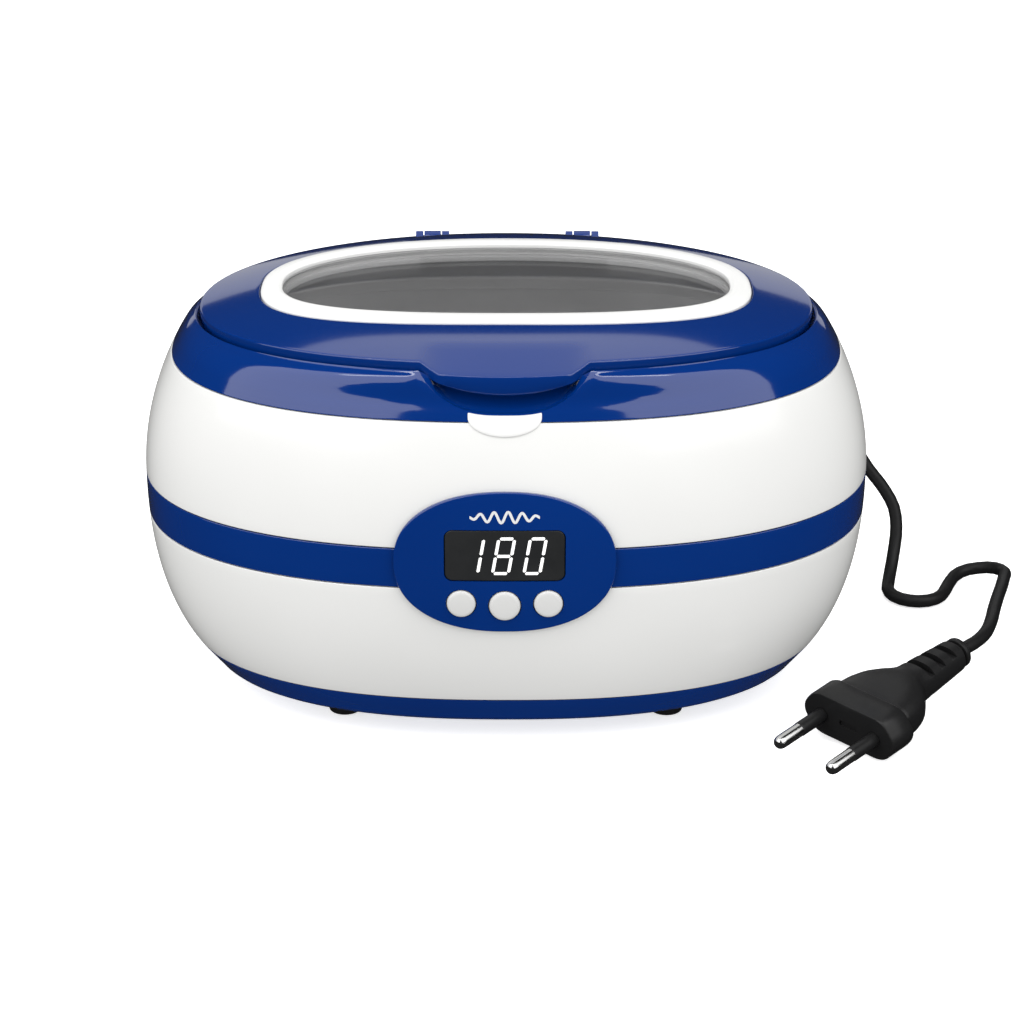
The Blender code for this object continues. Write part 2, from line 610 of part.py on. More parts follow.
def make_panel(mats):
    bezel = add_object("control_bezel", loft(front_patch(PANEL_Z, PANEL_A, PANEL_C, PANEL_POWER,
                       [(0.2, 0.15), (0.6, 0.15), (1, 0.15), (1, 0.8), (0.975, 1.35), (0.9, 1.5), (0.6, 1.5),
                        (0.2, 1.5)])), mats["blue_plastic"])
    lens_cut = block("cut_lens", (-LENS_W / 2 - 0.2, -90.0, LENS_Z - LENS_H / 2 - 0.2),
                     (LENS_W / 2 + 0.2, -60.0, LENS_Z + LENS_H / 2 + 0.2), None)
    boolean(bezel, lens_cut)
    lens = front_rect(LENS_W, LENS_H, LENS_Z, 0.25, 1.45, 1.4)
    add_object("display_lens", lens, mats["display_glass"])

    names = ("set_button", "on_button", "off_button")
    for i, name in enumerate(names):
        x = (i - 1) * BUTTON_PITCH
        r = CENTRE_BUTTON_R if i == 1 else BUTTON_R
        z = BUTTON_Z - (0.6 if i == 1 else 0.0)
        y = front_y(x, z)
        hole = cylinder(f"cut_{name}", (x, 0, z), r + 0.3, -90.0, -60.0, None, "Y", 0.0, 16)
        boolean(bezel, hole)
        switch_y = -65.2
        profile = [(r - 0.9, y - 2.75), (r - 0.3, y - 2.5), (r, y - 2.0), (r, y + 0.9), (r + 0.9, y + 0.9),
                   (r + 0.9, y + 1.7), (1.6, y + 1.7), (1.6, switch_y - 1.2), (1.2, switch_y - 1.0)]
        bezel_clear = cylinder(f"cut_clear_{name}", (x, 0, z), r + 1.3, y + 0.6, y + 4.0, None, "Y", 0.0, 16)
        boolean(bezel, bezel_clear)
        add_object(name, loft(turned(profile, (x, 0, z), "Y", 16)), mats["white_plastic"])
        block(f"tact_switch_{name[:-7]}", (x - 3.0, switch_y + 0.35, z - 3.0),
              (x + 3.0, switch_y + 3.0, z + 3.0),
              mats["black_plastic"], 0.3)

    block("control_board", (-26.0, -61.9, 42.0), (26.0, -60.3, 75.0), mats["circuit_board"])
    block("display_module", (-16.0, -71.2, LENS_Z - 7.0), (16.0, -62.1, LENS_Z + 7.0),
          mats["black_plastic"], 0.3)


def front_rect(width, height, centre_z, back, front, corner, columns=12):
    """A plate with rounded corners that bends with the front surface."""
    straight = width / 2 - corner
    places = [straight * (2 * k / columns - 1) for k in range(columns + 1)]
    for k in range(1, 5):
        x = straight + corner * sin(radians(22.5 * k))
        places += [x, -x]
    bm = bmesh.new()
    front_rows, back_rows = [], []
    for x in sorted(places):
        beyond = max(0.0, abs(x) - straight)
        half = height / 2 - corner + max(0.0, corner ** 2 - beyond ** 2) ** 0.5
        for rows, proud in ((front_rows, front), (back_rows, back)):
            rows.append([bm.verts.new((x, front_y(x, centre_z + z) - proud, centre_z + z))
                         for z in (-half, half)])
    for rows in (front_rows, back_rows):
        for p, q in zip(rows, rows[1:]):
            bm.faces.new((p[0], q[0], q[1], p[1]))
    pairs = list(zip(front_rows, back_rows))
    for (f, b), (f_next, b_next) in zip(pairs, pairs[1:]):
        for side in (0, 1):
            bm.faces.new((f[side], f_next[side], b_next[side], b[side]))
    for f, b in (pairs[0], pairs[-1]):
        bm.faces.new((f[0], f[1], b[1], b[0]))
    return bm


# ---------------------------------------------------------------- electronics

def squares(levels, centre_x, centre_z):
    """Square rings stacked along Y from (half size, y) pairs."""
    return [[Vector((centre_x + sx * half, y, centre_z + sz * half))
             for sx, sz in ((1, 1), (-1, 1), (-1, -1), (1, -1))] for half, y in levels]


def make_electronics(mats):
    board_z, gap = 10.3, 0.12
    block("driver_board", (24.0, -30.0, board_z), (60.0, 30.0, board_z + 1.6), mats["circuit_board"])
    top = board_z + 1.6 + gap
    # Transformer: a ferrite core with a waist, and the copper winding round it.
    core = squares([(7.0, 8.0), (7.0, 11.0), (5.0, 11.0), (5.0, 20.0), (7.0, 20.0), (7.0, 23.0)],
                   50.0, top + 8.4)
    add_object("transformer_core", loft(core), mats["ferrite"])
    winding = squares([(5.3, 11.4), (8.2, 11.4), (8.2, 19.6), (5.3, 19.6)], 50.0, top + 8.4)
    add_object("transformer_winding", loft(winding, closed=True), mats["copper"])
    cylinder("filter_capacitor", (33.5, 16.0, 0), 7.0, top, top + 20.0, mats["black_plastic"], "Z", 0.6, 20)
    cylinder("tuning_inductor", (50.0, -4.0, 0), 6.5, top, top + 9.0, mats["copper"], "Z", 0.6, 20)
    sink = block("heat_sink", (27.0, -25.0, top), (48.0, -22.5, top + 18.0), mats["aluminium"])
    for i in range(6):
        x = 27.0 + i * 3.8
        fin = block(f"cut_fin_{i}", (x + 0.01, -22.6, top + 0.01), (x + 1.3, -17.5, top + 17.99), None)
        boolean(sink, fin, "UNION")
    block("power_transistor", (33.0, -27.8, top + 3.0), (43.0, -25.15, top + 16.0),
          mats["black_plastic"], 0.3)
    cylinder("fuse", (53.5, -20.5, top + 2.9), 2.6, -6.0, 6.0, mats["plated_pin"], "Y", 0.3, 14)


# ---------------------------------------------------------------- mains lead

GLAND_XY = (80.0, 55.0)
GLAND_Z = 59.2
GLAND_HEADING = radians(52.0)
CORD_RADIUS = 2.0
PLUG_AT = (96.4, -64.6, 7.6)
PLUG_HEADING, PLUG_TILT, PLUG_ROLL = radians(-136.0), radians(8.5), radians(-3.0)
PIN_PITCH, PIN_LENGTH, PIN_RADIUS, SLEEVE_LENGTH = 19.0, 19.0, 2.0, 10.0
# From the gland, down to the table, and round to the back of the plug.
CORD_ROUTE = (
    (87.39, 64.46, 59.2), (90.47, 68.4, 59.2), (93.54, 72.34, 59.2), (97.6, 75.9, 57.5),
    (101.8, 77.3, 52.6), (106.4, 75.8, 45.6), (110.7, 73.2, 38.8), (115.2, 70.6, 32.2),
    (119.8, 68.0, 26.8), (123.2, 64.8, 21.2), (123.9, 61.3, 15.1), (122.9, 57.2, 9.2),
    (121.4, 51.8, 4.4), (120.3, 47.0, 2.3), (119.9, 42.9, 2.0), (121.1, 38.5, 2.0),
    (124.4, 35.3, 2.0), (128.9, 34.3, 2.0), (133.2, 35.7, 2.0), (136.2, 39.1, 2.0),
    (138.0, 43.6, 2.0), (139.9, 48.6, 2.2), (142.2, 52.8, 2.8), (145.6, 55.2, 3.5),
    (149.9, 55.5, 4.2), (153.7, 54.0, 5.0), (156.3, 50.4, 5.7), (156.8, 46.1, 6.4),
    (155.2, 38.4, 8.2), (152.8, 27.5, 10.2), (149.8, 15.5, 12.0), (146.8, 3.0, 13.6),
    (144.2, -8.5, 14.9), (141.2, -18.5, 15.7), (137.4, -25.3, 15.8), (132.2, -30.05, 15.1),
)


def smooth_route(points, spacing):
    """Evenly spaced points on a Catmull-Rom curve through the given ones."""
    pts = [Vector(p) for p in points]
    pts = [pts[0] * 2 - pts[1], *pts, pts[-1] * 2 - pts[-2]]
    fine = []
    for p0, p1, p2, p3 in zip(pts, pts[1:], pts[2:], pts[3:]):
        for k in range(24):
            t = k / 24
            fine.append(0.5 * (2 * p1 + (p2 - p0) * t + (2 * p0 - 5 * p1 + 4 * p2 - p3) * t * t
                               + (3 * p1 - p0 - 3 * p2 + p3) * t ** 3))
    fine.append(pts[-2])
    lengths = [0.0]
    for p, q in zip(fine, fine[1:]):
        lengths.append(lengths[-1] + (q - p).length)
    count = round(lengths[-1] / spacing)
    result, k = [], 0
    for i in range(count + 1):
        want = lengths[-1] * i / count
        while k < len(fine) - 2 and lengths[k + 1] < want:
            k += 1
        result.append(fine[k].lerp(fine[k + 1], (want - lengths[k]) / (lengths[k + 1] - lengths[k])))
    return result


def gland_rings(profile, segments=12):
    """Rings along the gland's axis from (radius, distance) pairs."""
    out = Vector((cos(GLAND_HEADING), sin(GLAND_HEADING), 0))
    side = Vector((-sin(GLAND_HEADING), cos(GLAND_HEADING), 0))
    up = Vector((0, 0, 1))
    start = Vector((*GLAND_XY, GLAND_Z))
    return [[start + out * along + side * radius * cos(2 * pi * i / segments)
             + up * radius * sin(2 * pi * i / segments) for i in range(segments)]
            for radius, along in profile]


def make_lead(mats):
    rubber = mats["black_rubber"]
    gland = [(2.2, -5.0), (3.6, -5.0), (3.6, 1.3), (5.2, 1.3), (5.2, 2.6), (4.6, 3.2), (4.4, 5.4), (3.6, 5.6),
             (3.6, 6.8), (4.1, 7.0), (3.9, 9.4), (3.4, 9.6), (3.4, 10.8), (3.7, 11.0),
             (3.5, 13.4), (3.1, 13.6),
             (3.1, 14.8), (3.4, 15.0), (3.1, 21.2), (2.5, 21.5)]
    add_object("cord_gland", loft(gland_rings(gland), closed=True), rubber)

    curve = bpy.data.curves.new("mains_cord", "CURVE")
    curve.dimensions = "3D"
    curve.bevel_depth = CORD_RADIUS * MM
    curve.bevel_resolution = 2
    curve.render_resolution_u = 0
    curve.use_fill_caps = True
    route = smooth_route(CORD_ROUTE, 5.0)
    spline = curve.splines.new("POLY")
    spline.points.add(len(route) - 1)
    for point, place in zip(spline.points, route):
        point.co = (*(place * MM), 1.0)
    curve.materials.append(rubber)
    bpy.context.scene.collection.objects.link(bpy.data.objects.new("mains_cord", curve))

    frame = bpy.data.objects.new("plug_frame", None)
    bpy.context.scene.collection.objects.link(frame)
    ahead = Vector((cos(PLUG_HEADING) * cos(PLUG_TILT), sin(PLUG_HEADING) * cos(PLUG_TILT), -sin(PLUG_TILT)))
    side = Vector((0, 0, 1)).cross(ahead).normalized()
    side.rotate(Matrix.Rotation(PLUG_ROLL, 3, ahead))
    frame.matrix_world = (Matrix.Translation(Vector(PLUG_AT) * MM)
                          @ Matrix((side, ahead.cross(side), ahead)).transposed().to_4x4())

    # Local axes: X across the pins, Y up, Z out along the pins.
    sections = [(16.2, 5.9, 2.6, 0.0), (17.0, 6.6, 2.6, -0.9), (17.2, 6.7, 2.6, -8.6), (16.0, 6.3, 2.6, -9.4),
                (13.0, 6.0, 2.6, -9.8), (12.6, 6.2, 2.8, -14.0), (11.0, 6.2, 2.8, -19.0),
                (7.6, 5.6, 2.4, -22.6),
                (5.2, 4.9, 2.0, -25.0), (4.6, 4.6, 2.0, -28.0)]
    for start in (-29.0, -35.0, -41.0):
        sections += [(4.6, 4.6, 2.0, start), (3.3, 3.3, 2.0, start - 0.1), (3.3, 3.3, 2.0, start - 1.7),
                     (4.5, 4.5, 2.0, start - 1.8)]
    sections += [(4.2, 4.2, 2.0, -48.6), (3.4, 3.4, 2.0, -49.8)]
    rings = [[Vector((*superellipse(a, b, power, 2 * pi * i / 20), z)) for i in range(20)]
             for a, b, power, z in sections]
    plug = add_object("plug_body", loft(rings), rubber)
    plug.parent = frame
    for name, sx in (("left", -1), ("right", 1)):
        centre = (sx * PIN_PITCH / 2, 0, 0)
        pin = [(PIN_RADIUS, 0.3 + SLEEVE_LENGTH), (PIN_RADIUS, PIN_LENGTH - 1.6), (1.6, PIN_LENGTH - 0.5),
               (0.8, PIN_LENGTH)]
        sleeve = [(PIN_RADIUS, 0.15), (PIN_RADIUS, 0.15 + SLEEVE_LENGTH)]
        for kind, profile, mat in (("plug_pin", pin, mats["plated_pin"]),
                                   ("pin_sleeve", sleeve, mats["black_plastic"])):
            piece = add_object(f"{kind}_{name}", loft(turned(profile, centre, "Z", 16)), mat)
            piece.parent = frame


def main():
    for obj in list(bpy.data.objects):
        bpy.data.objects.remove(obj)
    mats = make_materials()
    make_body(mats)
    make_lid(mats)
    make_tank(mats)
    make_tank_trim(mats)
    make_transducer(mats)
    make_panel(mats)
    make_electronics(mats)
    make_lead(mats)


main()
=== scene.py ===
"""Looks for the ultrasonic cleaner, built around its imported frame.

Shapes are worked in millimetres and scaled to metres when a mesh is made.
The front faces -Y and the feet stand on Z = 0.
"""
import bpy
import bmesh
from math import pi, sin, cos, atan2, radians
from mathutils import Vector, Matrix


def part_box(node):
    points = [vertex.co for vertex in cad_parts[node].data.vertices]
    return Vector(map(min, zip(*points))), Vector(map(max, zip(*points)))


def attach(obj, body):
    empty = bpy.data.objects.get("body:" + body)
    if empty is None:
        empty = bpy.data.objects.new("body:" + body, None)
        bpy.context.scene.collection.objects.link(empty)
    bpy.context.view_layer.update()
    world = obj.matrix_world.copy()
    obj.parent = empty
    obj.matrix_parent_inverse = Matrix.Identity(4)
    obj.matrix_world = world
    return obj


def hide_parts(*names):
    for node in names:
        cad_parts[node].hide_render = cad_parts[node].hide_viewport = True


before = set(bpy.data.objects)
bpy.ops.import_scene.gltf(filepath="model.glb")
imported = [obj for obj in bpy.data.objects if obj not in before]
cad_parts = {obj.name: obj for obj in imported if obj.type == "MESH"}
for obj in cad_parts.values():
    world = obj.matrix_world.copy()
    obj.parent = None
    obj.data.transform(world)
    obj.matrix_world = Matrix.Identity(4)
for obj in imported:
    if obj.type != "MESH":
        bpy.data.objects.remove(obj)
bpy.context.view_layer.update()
MM = 0.001


def box_mm(node):
    low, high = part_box(node)
    return Vector(low) / MM, Vector(high) / MM


# ---------------------------------------------------------------- driving sizes

WAIST_LOW, WAIST_HIGH = box_mm("waist_band")
LOWER_LOW = box_mm("lower_shell")[0]
UPPER_HIGH = box_mm("upper_shell")[1]
FRAME_HIGH = box_mm("lid_window_frame")[1]
FRAME_LOW = box_mm("lid_window_frame")[0]

JOINT_GAP = 0.15
HALF_WIDTH = 105.0
DEPTH_RATIO = 0.70
BODY_POWER = 2.4
UPPER_REACH, UPPER_FULLNESS = 82.4, 0.44
LOWER_REACH, LOWER_BEND, LOWER_FULLNESS = 70.0, 2.27, 0.2
WAIST_Z = WAIST_HIGH.z + JOINT_GAP
STRIPE_LOW_Z = WAIST_LOW.z - JOINT_GAP
BASE_LINE_Z = LOWER_LOW.z - JOINT_GAP
BLUE_LINE_Z = UPPER_HIGH.z + JOINT_GAP
TRAY_Z = box_mm("base_tray")[0].z
WALL = 2.4
SEGMENTS = 216

LID_A, LID_B, LID_POWER = 88.0, 62.4, 2.06
RIM_SIDE_Z, RIM_FRONT_Z, RIM_REAR_Z = 110.6, 113.9, 111.8
ROOF_Z, DOME_POWER, EDGE_RISE = 118.0, 3.3, 1.2
RING_Y = (FRAME_LOW.y + FRAME_HIGH.y) / 2
RING_OUT_A, RING_OUT_B, RING_OUT_POWER = FRAME_HIGH.x, (FRAME_HIGH.y - FRAME_LOW.y) / 2, 2.6
RING_IN_A, RING_IN_B, RING_IN_POWER = 64.5, 33.0, 2.4
HINGE_X, HINGE_Y, HINGE_Z = 23.0, 66.2, 110.0
LEDGE_DROP = 4.9
FRONT_NEAR_Y, FRONT_FAR_Y = -60.0, -90.0
SCOOP_HALF, SCOOP_LOW_Z, BOWL_BACK_Y = 22.4, 102.0, -58.8
TONGUE_HALF, TONGUE_EASE, TONGUE_HANG, TONGUE_REACH = 22.8, 4.5, 2.2, 2.6

TANK_A, TANK_B, TANK_POWER, TANK_Y = 77.0, 47.0, 2.6, 1.0
TANK_RIM_Z, TANK_DEPTH, TANK_SHEET = 102.0, 52.0, 0.8
DECK_Z = 104.2

PANEL_Z, PANEL_A, PANEL_C, PANEL_POWER = 61.4, 30.4, 20.6, 2.25
LENS_Z, LENS_W, LENS_H = 64.0, 32.6, 14.6
BUTTON_Z, BUTTON_PITCH = 49.7, 11.9
BUTTON_R, CENTRE_BUTTON_R = 3.95, 4.3
SWITCH_CAP_Y = -65.2
FOOT_XY = (46.5, 38.0)
SCREW_XY = (66.0, 20.0)


# ---------------------------------------------------------------- camera

def make_camera():
    elevation, azimuth, distance = radians(22.43), radians(0.21), 900.0
    target = Vector((1.7, 0.0, 46.1))
    toward = Vector((sin(azimuth) * cos(elevation), -cos(azimuth) * cos(elevation), sin(elevation)))
    data = bpy.data.cameras.new("camera")
    data.lens = 106.84
    data.sensor_width = 36.0
    camera = bpy.data.objects.new("camera", data)
    camera.location = (target + toward * distance) * MM
    camera.rotation_euler = (-toward).to_track_quat("-Z", "Y").to_euler()
    bpy.context.scene.collection.objects.link(camera)
    bpy.context.scene.camera = camera


# ---------------------------------------------------------------- materials

def node(tree, kind, **settings):
    made = tree.nodes.new(kind)
    for name, value in settings.items():
        if name in made.inputs:
            made.inputs[name].default_value = value
        else:
            setattr(made, name, value)
    return made


class Finish:
    """A material with one shader and the nodes that vary it."""

    def __init__(self, name, **shader):
        self.mat = bpy.data.materials.new(name)
        self.mat.use_nodes = True
        self.tree = self.mat.node_tree
        self.shader = self.tree.nodes["Principled BSDF"]
        for key, value in shader.items():
            self.shader.inputs[key.replace("_", " ").title()].default_value = value
        self.place = self.tree.nodes.new("ShaderNodeTexCoord").outputs["Object"]

    def stretched(self, x, y, z):
        mapping = node(self.tree, "ShaderNodeMapping", Scale=(x, y, z))
        self.tree.links.new(self.place, mapping.inputs["Vector"])
        return mapping.outputs["Vector"]

    def noise(self, scale, detail=3.0, roughness=0.5, vector=None):
        made = node(self.tree, "ShaderNodeTexNoise", Scale=scale, Detail=detail, Roughness=roughness)
        self.tree.links.new(vector or self.place, made.inputs["Vector"])
        return made.outputs["Fac"]

    def colour(self, fac, dark, light, low=0.3, high=0.7):
        ramp = self.tree.nodes.new("ShaderNodeValToRGB")
        ramp.color_ramp.elements[0].position = low
        ramp.color_ramp.elements[1].position = high
        ramp.color_ramp.elements[0].color = (*dark, 1.0)
        ramp.color_ramp.elements[1].color = (*light, 1.0)
        self.tree.links.new(fac, ramp.inputs["Fac"])
        self.tree.links.new(ramp.outputs["Color"], self.shader.inputs["Base Color"])
        return self

    def rough(self, fac, low, high):
        spread = node(self.tree, "ShaderNodeMapRange")
        spread.inputs["From Min"].default_value = 0.3
        spread.inputs["From Max"].default_value = 0.7
        spread.inputs["To Min"].default_value = low
        spread.inputs["To Max"].default_value = high
        self.tree.links.new(fac, spread.inputs["Value"])
        self.tree.links.new(spread.outputs["Result"], self.shader.inputs["Roughness"])
        return self

    def bump(self, fac, depth_mm, strength=1.0):
        made = node(self.tree, "ShaderNodeBump", Strength=strength, Distance=depth_mm * MM)
        self.tree.links.new(fac, made.inputs["Height"])
        self.tree.links.new(made.outputs["Normal"], self.shader.inputs["Normal"])
        return self


def moulded(name, dark, light, rough, coat=0.0, peel=0.0003):
    """Glossy moulded plastic with a faint orange peel and uneven polish."""
    finish = Finish(name, coat_weight=coat, coat_roughness=0.06)
    finish.colour(finish.noise(14.0, 2.0), dark, light)
    finish.rough(finish.noise(60.0, 2.0), rough * 0.92, rough * 1.08)
    finish.bump(finish.noise(420.0, 2.0), peel)
    return finish.mat


def grained(name, dark, light, rough, grain_mm=0.35, depth=0.02, shine=0.5):
    """Fine-grained matt plastic, rubber or ceramic."""
    finish = Finish(name)
    finish.shader.inputs["Specular IOR Level"].default_value = shine
    grain = finish.noise(1.0 / (grain_mm * MM), 3.0, 0.6)
    finish.colour(grain, dark, light)
    finish.rough(grain, rough * 0.85, rough * 1.15)
    finish.bump(grain, depth)
    return finish.mat


def brushed(name, dark, light, rough, along=(40.0, 40.0, 2500.0)):
    """Metal with fine drawn lines."""
    finish = Finish(name, metallic=1.0)
    lines = finish.noise(1.0, 4.0, 0.6, finish.stretched(*along))
    finish.colour(lines, dark, light)
    finish.rough(lines, rough * 0.8, rough * 1.25)
    finish.bump(lines, 0.004)
    return finish.mat


def make_window_material():
    finish = Finish("smoked_acrylic", alpha=0.35, coat_weight=0.3, coat_roughness=0.03)
    finish.colour(finish.noise(30.0, 2.0), (0.13, 0.13, 0.132), (0.145, 0.145, 0.147))
    finish.rough(finish.noise(120.0, 3.0), 0.04, 0.07)
    return finish.mat


def make_display_glass():
    finish = Finish("display_glass", coat_weight=0.25, coat_roughness=0.08)
    finish.colour(finish.noise(140.0, 3.0), (0.018, 0.019, 0.020), (0.024, 0.025, 0.026))
    finish.rough(finish.noise(500.0, 3.0), 0.28, 0.36)
    return finish.mat


def make_lit_segment():
    finish = Finish("lit_segment", emission_strength=0.55, roughness=0.5)
    finish.shader.inputs["Emission Color"].default_value = (1.0, 1.0, 0.98, 1.0)
    finish.colour(finish.noise(900.0, 2.0), (0.80, 0.80, 0.79), (0.9, 0.9, 0.89))
    return finish.mat


def make_copper_wire():
    finish = Finish("copper_wire", metallic=1.0)
    turns = finish.noise(1.0, 1.0, 0.4, finish.stretched(20.0, 900.0, 20.0))
    finish.colour(turns, (0.5, 0.2, 0.1), (0.8, 0.42, 0.25))
    finish.rough(turns, 0.25, 0.4)
    finish.bump(turns, 0.08)
    return finish.mat


def make_board_material():
    finish = Finish("circuit_board", coat_weight=0.2)
    traces = finish.noise(260.0, 1.0, 0.3, finish.stretched(1.0, 2.0, 1.0))
    finish.colour(traces, (0.010, 0.11, 0.035), (0.02, 0.2, 0.06), 0.48, 0.52)
    finish.rough(traces, 0.4, 0.5)
    finish.bump(traces, 0.03)
    return finish.mat


def make_materials():
    return {
        "blue": moulded("blue_plastic", (0.0004, 0.026, 0.178), (0.0008, 0.030, 0.196), 0.09, 1.0),
        "white": moulded("white_plastic", (0.80, 0.80, 0.785), (0.84, 0.84, 0.825), 0.2, 0.2),
        "button": moulded("button_plastic", (0.66, 0.66, 0.65), (0.69, 0.69, 0.68), 0.3, 0.1),
        "pale": moulded("pale_plastic", (0.84, 0.84, 0.83), (0.88, 0.88, 0.87), 0.25, 0.1),
        "window": make_window_material(),
        "seal": moulded("window_seal", (0.66, 0.66, 0.66), (0.72, 0.72, 0.72), 0.35),
        "display": make_display_glass(),
        "lit": make_lit_segment(),
        "mark": moulded("printed_mark", (0.72, 0.72, 0.72), (0.82, 0.82, 0.82), 0.45),
        "tank_steel": brushed("drawn_steel", (0.78, 0.78, 0.78), (0.84, 0.84, 0.84), 0.45,
                              (20.0, 20.0, 500.0)),
        "steel": brushed("turned_steel", (0.45, 0.45, 0.45), (0.62, 0.62, 0.61), 0.25),
        "plated": brushed("plated_pin", (0.72, 0.72, 0.71), (0.82, 0.82, 0.81), 0.12,
                          (300.0, 300.0, 300.0)),
        "aluminium": brushed("aluminium", (0.6, 0.6, 0.61), (0.75, 0.75, 0.76), 0.35),
        "cord": grained("cord_rubber", (0.009, 0.009, 0.0095), (0.013, 0.013, 0.0135), 0.42,
                        0.5, 0.012, 0.25),
        "rubber": grained("black_rubber", (0.008, 0.008, 0.0085), (0.012, 0.012, 0.0125), 0.45,
                          0.4, 0.012, 0.3),
        "plug": grained("plug_rubber", (0.010, 0.010, 0.0105), (0.014, 0.014, 0.0145), 0.34,
                        0.3, 0.006, 0.32),
        "black": grained("black_plastic", (0.012, 0.012, 0.013), (0.022, 0.022, 0.023), 0.4,
                         0.3, 0.01),
        "board": make_board_material(),
        "ceramic": grained("piezo_ceramic", (0.45, 0.40, 0.31), (0.56, 0.50, 0.40), 0.5, 0.5, 0.01),
        "copper": make_copper_wire(),
        "ferrite": grained("ferrite", (0.035, 0.035, 0.038), (0.06, 0.06, 0.065), 0.5, 0.3, 0.02),
    }


# ---------------------------------------------------------------- mesh tools

def add_mesh(name, bm, mat, smooth_angle=40):
    bmesh.ops.recalc_face_normals(bm, faces=bm.faces)
    mesh = bpy.data.meshes.new(name)
    bm.to_mesh(mesh)
    bm.free()
    mesh.transform(Matrix.Scale(MM, 4))
    mesh.shade_smooth()
    mesh.set_sharp_from_angle(angle=radians(smooth_angle))
    obj = bpy.data.objects.new(name, mesh)
    bpy.context.scene.collection.objects.link(obj)
    if mat:
        mesh.materials.append(mat)
    return obj


def cut(obj, cutter, operation="DIFFERENCE"):
    """Apply a Boolean at once and drop the cutter."""
    mod = obj.modifiers.new("cut", "BOOLEAN")
    mod.operation = operation
    mod.solver = "EXACT"
    mod.object = cutter
    graph = bpy.context.evaluated_depsgraph_get()
    mesh = bpy.data.meshes.new_from_object(obj.evaluated_get(graph))
    obj.modifiers.clear()
    obj.data = mesh
    mesh.set_sharp_from_angle(angle=radians(40))
    bpy.data.objects.remove(cutter)


def superellipse(a, b, power, angle):
    c, s = cos(angle), sin(angle)
    r = (abs(c) ** power + abs(s) ** power) ** (-1.0 / power)
    return a * r * c, b * r * s


def plan_ring(a, b, power, z, centre_y=0.0, segments=SEGMENTS):
    ring = []
    for i in range(segments):
        angle = 2 * pi * i / segments
        x, y = superellipse(a, b, power, angle)
        height = z(x, y + centre_y, angle) if callable(z) else z
        ring.append(Vector((x, y + centre_y, height)))
    return ring


def loft(rings, closed=False):
    bm = bmesh.new()
    rows = [[bm.verts.new(p) for p in ring] for ring in rings]
    count = len(rows[0])
    pairs = list(zip(rows, rows[1:]))
    if closed:
        pairs.append((rows[-1], rows[0]))
    for low, high in pairs:
        for i in range(count):
            j = (i + 1) % count
            bm.faces.new((low[i], low[j], high[j], high[i]))
    if not closed:
        bm.faces.new(rows[0])
        bm.faces.new(rows[-1])
    return bm


def blend_ring(outer, inner, t):
    return [a.lerp(b, t) for a, b in zip(outer, inner)]


def soften(rings, radii, closed=False, steps=4):
    """Round the corner that each ring makes with its neighbours."""
    result = []
    last = len(rings) - 1
    for k, (ring, radius) in enumerate(zip(rings, radii)):
        if not radius or (not closed and k in (0, last)):
            result.append(ring)
            continue
        before, after = rings[k - 1], rings[(k + 1) % len(rings)]
        for s in range(steps + 1):
            t = s / steps
            row = []
            for p, b, a in zip(ring, before, after):
                start = p + (b - p).normalized() * min(radius, (b - p).length * 0.48)
                end = p + (a - p).normalized() * min(radius, (a - p).length * 0.48)
                row.append(start * (1 - t) ** 2 + p * 2 * t * (1 - t) + end * t * t)
            result.append(row)
    return result


def curve_rings(rings, steps):
    """Extra rings on a smooth curve through the given ones."""
    ends = [blend_ring(rings[0], rings[1], -1.0), *rings, blend_ring(rings[-1], rings[-2], -1.0)]
    result = []
    for p0, p1, p2, p3 in zip(ends, ends[1:], ends[2:], ends[3:]):
        for s in range(steps):
            t = s / steps
            result.append([0.5 * (2 * b + (c - a) * t + (2 * a - 5 * b + 4 * c - d) * t * t
                                  + (3 * b - a - 3 * c + d) * t ** 3) for a, b, c, d in zip(p0, p1, p2, p3)])
    result.append(rings[-1])
    return result


def turned(profile, centre, axis="Z", segments=48):
    rings = []
    for radius, height in profile:
        ring = []
        for i in range(segments):
            angle = 2 * pi * i / segments
            u, v = radius * cos(angle), radius * sin(angle)
            local = {"Z": (u, v, height), "Y": (u, height, v), "X": (height, u, v)}[axis]
            ring.append(Vector(centre) + Vector(local))
        rings.append(ring)
    return rings


def cutter_block(low, high):
    bm = bmesh.new()
    bmesh.ops.create_cube(bm, size=1.0)
    for vert in bm.verts:
        vert.co = Vector([low[k] + (high[k] - low[k]) * (vert.co[k] + 0.5) for k in range(3)])
    return add_mesh("cutter", bm, None)


def cutter_cylinder(centre, radius, low, high, axis="Z"):
    return add_mesh("cutter", loft(turned([(radius, low), (radius, high)], centre, axis)), None)


def piece(obj, body, slot, *nodes):
    """Hand a finished piece to its body and let it stand for its CAD nodes."""
    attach(obj, body)
    if nodes:
        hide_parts(*nodes)
    return obj


# ---------------------------------------------------------------- body shape

def half_width(z):
    if z >= WAIST_Z:
        return HALF_WIDTH * (1 - ((z - WAIST_Z) / UPPER_REACH) ** 2) ** UPPER_FULLNESS
    return HALF_WIDTH * (1 - ((WAIST_Z - z) / LOWER_REACH) ** LOWER_BEND) ** LOWER_FULLNESS


def body_ring(z, inset=0.0):
    a = half_width(z)
    return plan_ring(a - inset, a * DEPTH_RATIO - inset, BODY_POWER, z)


def levels(low, high, steps):
    return [low + (high - low) * i / steps for i in range(steps + 1)]


def front_y(x, z):
    a = half_width(z)
    return -a * DEPTH_RATIO * max(0.0, 1 - abs(x / a) ** BODY_POWER) ** (1 / BODY_POWER)


def rim_height(angle):
    end = RIM_REAR_Z if sin(angle) > 0 else RIM_FRONT_Z
    return RIM_SIDE_Z + (end - RIM_SIDE_Z) * sin(angle) ** 2


